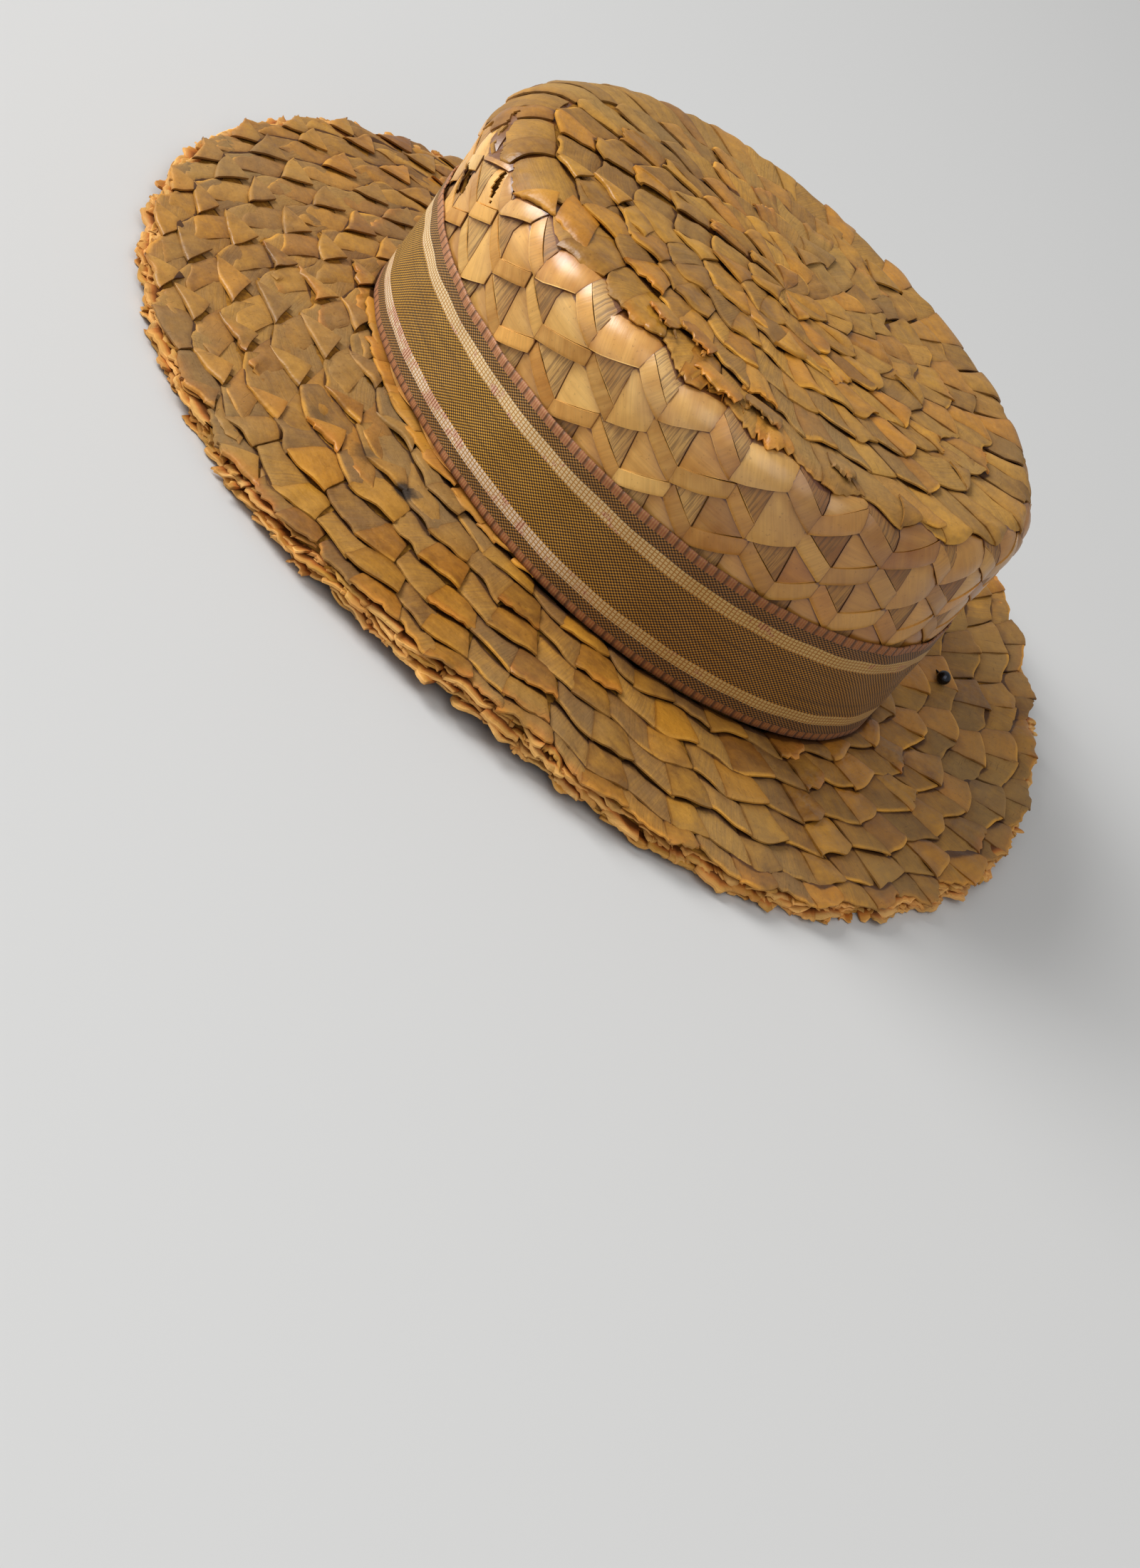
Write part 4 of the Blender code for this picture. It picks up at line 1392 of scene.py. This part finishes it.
class SKIMMER_OT_crown(bpy.types.Operator):
    """Plait the crown: its tip, its side and its inside"""

    bl_idname = "skimmer.crown"
    bl_label = "Crown"

    def execute(self, context):
        straw = context.scene.skimmer_straw
        side_finish = straw_material("straw_side", straw.crown_light, straw.crown_dark,
                                     gloss=0.27, dust=0.0, slit_shade=0.6, fold=0.35,
                                     hollow=straw.seam, shine=0.85, back_shade=0.95)
        tip_finish = straw_material("straw_tip", straw.tip_light, straw.tip_dark,
                                    gloss=0.28, dust=0.42, slit_shade=1.0, fold=1.2, shine=0.36)
        tip = Plait(crown_points, tip_edge, 1.0, straw.seed + 2, straw.crumple)
        tip.holes = HOLES

        def tip_row(i, zigzag):
            """One row of the tip, torn where it is the last."""
            scales(tip, zigzag, straw, TIP_GRID, TIP_STEP * straw.brim_step, straw.pitch,
                   TIP_TEARS if i == len(TIP_ROWS) - 1 else ())

        lay_rows(tip, TIP_ROWS, align=0.0, turn=0.37, tooth=straw.brim_tooth, uneven=0.35,
                 first=None, lay=tip_row)
        cover = tip.cover
        flaps(tip, straw)
        top = tip.finish("crown_tip_plait", tip_finish)
        side = Plait(crown_points, side_along, 1.0, straw.seed + 1, straw.smooth)
        side.holes = HOLES

        def side_row(i, zigzag):
            """One row of the side, with fewer broad straws the lower it is."""
            chevrons(side, zigzag, straw, SIDE_GRID, straw.side_step, 0.55 - 0.2 * i)

        lay_rows(side, SIDE_ROWS, align=0.0, turn=0.455, tooth=straw.side_tooth, uneven=0.08,
                 first=cover, lay=side_row)
        side.cover = None
        foot = side.zigzag(FOOT_ROW, phase=0.2, tooth=0.0008, uneven=0.5)
        chevrons(side, foot, straw, SIDE_GRID, FOOT_STEP * straw.side_step)
        piece = side.finish("crown_side_plait", side_finish)
        peak = CROWN_HEIGHT + TIP_DOME
        inside = CROWN_WALL - CROWN_CORE_INSET
        core = loft("crown_core", crown_rings(CROWN_CORE_DEPTH) + crown_rings(inside)[::-1],
                    core_material(), start=(HAT_X, HAT_Y, peak - CROWN_CORE_DEPTH),
                    end=(HAT_X, HAT_Y, peak - inside))
        pierce(core)
        for part in (piece, top, core):
            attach(part, "root")
            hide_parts("crown")
        return {"FINISHED"}


class SKIMMER_OT_brim(bpy.types.Operator):
    """Plait the brim: its upper face, its lower face and its worn edge"""

    bl_idname = "skimmer.brim"
    bl_label = "Brim"

    def execute(self, context):
        straw = context.scene.skimmer_straw
        finish = straw_material("straw_brim", straw.brim_light, straw.brim_dark, gloss=0.28,
                                dust=0.46, slit_shade=1.2, fold=1.3, stains=STAINS, shine=0.42)
        brim = Plait(brim_points, brim_edge, 1.0, straw.seed, straw.crumple)
        brim.folded = True

        def brim_row(i, zigzag):
            """One row of the brim, torn where it is the last."""
            scales(brim, zigzag, straw, BRIM_GRID, straw.brim_step, straw.brim_pitch,
                   BRIM_TEARS if i == len(BRIM_ROWS) - 1 else ())

        lay_rows(brim, BRIM_ROWS, align=BRIM_ALIGN, turn=-0.08, tooth=straw.brim_tooth,
                 uneven=0.25, first=lambda theta: RIBBON_COVER, lay=brim_row)
        piece = brim.finish("brim_plait", finish)
        edge = Plait(brim_points, brim_edge, 1.0, straw.seed + 5, straw.ruffle)
        for layer in EDGE_LAYERS:
            stack(edge, layer.depth, layer.out)
        frays(edge)
        rim_finish = straw_material("straw_edge", straw.pale, straw.brim_light, gloss=0.42,
                                    dust=0.1, slit_shade=0.1, fold=0.5, inside=straw.inside)
        rim = edge.finish("brim_frayed_edge", rim_finish)
        strip = Plait(brim_points, brim_edge, 1.0, straw.seed + 6, straw.crumple)
        loose_strip(strip)
        strip_finish = straw_material("straw_strip", straw.tip_light, straw.crown_dark,
                                      gloss=0.42, dust=0.1, slit_shade=0.1, fold=0.6)
        loose = strip.finish("brim_loose_strip", strip_finish)
        under = Plait(brim_under_points, brim_edge, -1.0, straw.seed + 3, straw.smooth)
        rows = [Row(min(row.place, UNDER_REACH), row.teeth) for row in BRIM_ROWS]
        lay_rows(under, rows, align=0.0, turn=0.37, tooth=straw.brim_tooth, uneven=0.2, first=None,
                 lay=lambda i, row: chevrons(under, row, straw, UNDER_GRID, straw.side_step))
        below = under.finish("brim_under_plait", finish)
        upper = brim_rings(brim_points, -BRIM_CORE_DEPTH)
        lower = brim_rings(brim_under_points, BRIM_CORE_DEPTH)
        core = loft("brim_core", upper + lower[::-1], core_material(), closed=True)
        for part in (piece, rim, loose, below, core):
            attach(part, "root")
            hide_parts("brim")
        return {"FINISHED"}


class SKIMMER_OT_ribbon(bpy.types.Operator):
    """Wrap the woven ribbon round the crown"""

    bl_idname = "skimmer.ribbon"
    bl_label = "Ribbon"

    def execute(self, context):
        ribbon = context.scene.skimmer_ribbon
        columns, rows = RIBBON_COLUMNS, RIBBON_ROWS
        theta = np.arange(columns) * math.tau / columns
        foot = np.array([RIBBON_LIFT * bearing(t, RIBBON_LIFT_ANGLE, RIBBON_LIFT_SPREAD)
                         for t in theta])
        foot = foot + ribbon.buckle * np.sin(5.0 * theta + 1.0) + ribbon.buckle
        points, heights = [], np.linspace(0.0, 1.0, rows + 1)
        for share in heights:
            height = BAND_FOOT + foot + (BAND_TOP - BAND_FOOT - foot) * share
            length, width = crown_halves(height)
            ripple = (np.sin(17.0 * theta + 4.0 * share) * np.sin(7.0 * theta + 9.0 * share)
                      + 0.6 * np.sin(31.0 * theta - 5.0 * share) + 1.4)
            reach = RIBBON_GAP + ribbon.thickness + ribbon.buckle * ripple * (0.4 + 0.6 * share)
            points.append(np.stack([HAT_X + (width + reach) * np.sin(theta),
                                    HAT_Y - (length + reach) * np.cos(theta), height], -1))
        middle = points[rows // 2]
        steps = np.linalg.norm(np.roll(middle, -1, 0) - middle, axis=1)
        run = np.concatenate([[0.0], np.cumsum(steps)])
        index = np.arange(columns * (rows + 1)).reshape(rows + 1, columns)
        beside = np.roll(index, -1, axis=1)
        faces = np.stack([index[:-1], beside[:-1], beside[1:], index[1:]], -1).reshape(-1, 4)
        mesh = bpy.data.meshes.new("ribbon_band")
        mesh.from_pydata(np.concatenate(points).tolist(), [], faces.tolist())
        flat = np.stack(np.meshgrid(run, heights * (BAND_TOP - BAND_FOOT)), -1)
        corners = np.stack([flat[:-1, :-1], flat[:-1, 1:], flat[1:, 1:], flat[1:, :-1]], 2)
        layer = mesh.uv_layers.new(name="weave")
        layer.data.foreach_set("uv", corners.astype(np.float32).reshape(-1))
        mesh.shade_smooth()
        piece = add_piece("ribbon_band", mesh, ribbon_material())
        apply_modifier(piece, "SOLIDIFY", thickness=ribbon.thickness, offset=-1.0)
        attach(piece, "root")
        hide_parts("hat_band")
        return {"FINISHED"}


class SKIMMER_OT_pin(bpy.types.Operator):
    """Finish the ball-headed pin"""

    bl_idname = "skimmer.pin"
    bl_label = "Pin"

    def execute(self, context):
        pin = context.scene.skimmer_pin
        low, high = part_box("pin")
        head = high - Vector((pin.ball, pin.ball, pin.ball))
        point = Vector((low.x + pin.shaft, low.y + pin.shaft, low.z))
        run = head - point
        deselect()
        bpy.ops.mesh.primitive_uv_sphere_add(segments=40, ring_count=24, radius=pin.ball,
                                             location=head)
        ball = context.object
        bpy.ops.mesh.primitive_cone_add(vertices=16, radius1=0.25 * pin.shaft,
                                        radius2=pin.shaft, depth=run.length,
                                        location=point + run / 2.0,
                                        rotation=run.to_track_quat("Z", "Y").to_euler())
        ball.select_set(True)
        context.view_layer.objects.active = ball
        bpy.ops.object.join()
        bpy.ops.object.transform_apply(location=True, rotation=True, scale=True)
        bpy.ops.object.shade_smooth()
        ball.name = "ball_pin"
        ball.data.materials.append(steel_material())
        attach(ball, "root")
        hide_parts("pin")
        return {"FINISHED"}


class SKIMMER_OT_stage(bpy.types.Operator):
    """Set the pale floor, the soft lights and the camera"""

    bl_idname = "skimmer.stage"
    bl_label = "Stage"

    def execute(self, context):
        stage = context.scene.skimmer_stage
        deselect()
        bpy.ops.mesh.primitive_plane_add(size=FLOOR_SIZE, location=(0.0, 0.0, FLOOR_HEIGHT))
        floor = context.object
        floor.name = "floor"
        material, _, shader = new_material("pale_floor")
        join_inputs(shader, {"Base Color": (*stage.floor, 1.0), "Roughness": 0.8})
        floor.data.materials.append(material)
        place_camera(context)
        add_light("key", stage.key, KEY_LIGHT)
        add_light("fill", stage.fill, FILL_LIGHT)
        context.scene.view_settings.view_transform = "Standard"
        world = bpy.data.worlds.new("studio")
        context.scene.world = world
        world.use_nodes = True
        sky = world.node_tree.nodes["Background"]
        sky.inputs["Color"].default_value = (1.0, 1.0, 1.0, 1.0)
        sky.inputs["Strength"].default_value = stage.sky
        return {"FINISHED"}


def add_light(name, power, place):
    """A soft square light that faces the hat."""
    offset = Vector(place.offset)
    bpy.ops.object.light_add(type="AREA", location=Vector((HAT_X, HAT_Y, LIGHT_AIM_HEIGHT)) + offset)
    light = bpy.context.object
    light.name = name
    light.data.energy = power
    light.data.size = place.size
    light.rotation_mode = "QUATERNION"
    light.rotation_quaternion = (-offset).to_track_quat("-Z", "Y")


def place_camera(context):
    """The camera, looking at the hat with the picture's upright turned by the roll."""
    bearing, elevation, roll = map(math.radians, (CAMERA_BEARING, CAMERA_ELEVATION, CAMERA_ROLL))
    back = Vector((math.sin(bearing) * math.cos(elevation),
                   -math.cos(bearing) * math.cos(elevation), math.sin(elevation)))
    right = Vector((math.cos(bearing), math.sin(bearing), 0.0))
    up = back.cross(right)
    across = right * math.cos(roll) + up * math.sin(roll)
    upright = -right * math.sin(roll) + up * math.cos(roll)
    aim = Vector((HAT_X, HAT_Y, CAMERA_AIM_HEIGHT)) + across * CAMERA_ASIDE + upright * CAMERA_UP
    bpy.ops.object.camera_add(location=aim + back * CAMERA_DISTANCE)
    camera = context.object
    camera.rotation_mode = "QUATERNION"
    camera.rotation_quaternion = Matrix((across, upright, back)).transposed().to_quaternion()
    camera.data.lens = CAMERA_LENS
    camera.data.clip_start = 0.01
    context.scene.camera = camera


class SKIMMER_PT_builder(bpy.types.Panel):
    """Builds the hat piece by piece"""

    bl_label = "Straw Skimmer"
    bl_space_type = "VIEW_3D"
    bl_region_type = "UI"
    bl_category = "Skimmer"

    def draw(self, context):
        for group in ("skimmer_straw", "skimmer_ribbon", "skimmer_pin", "skimmer_stage"):
            settings = getattr(context.scene, group)
            box = self.layout.box()
            for name in settings.__annotations__:
                box.prop(settings, name)
        for operator in OPERATORS:
            self.layout.operator(operator.bl_idname)


OPERATORS = (
    SKIMMER_OT_crown,
    SKIMMER_OT_brim,
    SKIMMER_OT_ribbon,
    SKIMMER_OT_pin,
    SKIMMER_OT_stage,
)
SETTINGS = {
    "skimmer_straw": SkimmerStraw,
    "skimmer_ribbon": SkimmerRibbon,
    "skimmer_pin": SkimmerPin,
    "skimmer_stage": SkimmerStage,
}


def register():
    """Adds the classes and the settings to Blender."""
    for group in (*SETTINGS.values(), *OPERATORS, SKIMMER_PT_builder):
        bpy.utils.register_class(group)
    for name, group in SETTINGS.items():
        setattr(bpy.types.Scene, name, PointerProperty(type=group))


def unregister():
    """Takes the settings and the classes out again."""
    for name in SETTINGS:
        delattr(bpy.types.Scene, name)
    for group in (SKIMMER_PT_builder, *reversed(OPERATORS), *reversed(SETTINGS.values())):
        bpy.utils.unregister_class(group)


def main():
    """Builds the whole hat and its stage."""
    register()
    bpy.ops.skimmer.crown()
    bpy.ops.skimmer.brim()
    bpy.ops.skimmer.ribbon()
    bpy.ops.skimmer.pin()
    bpy.ops.skimmer.stage()
    bpy.context.view_layer.update()


if __name__ == "__main__":
    main()
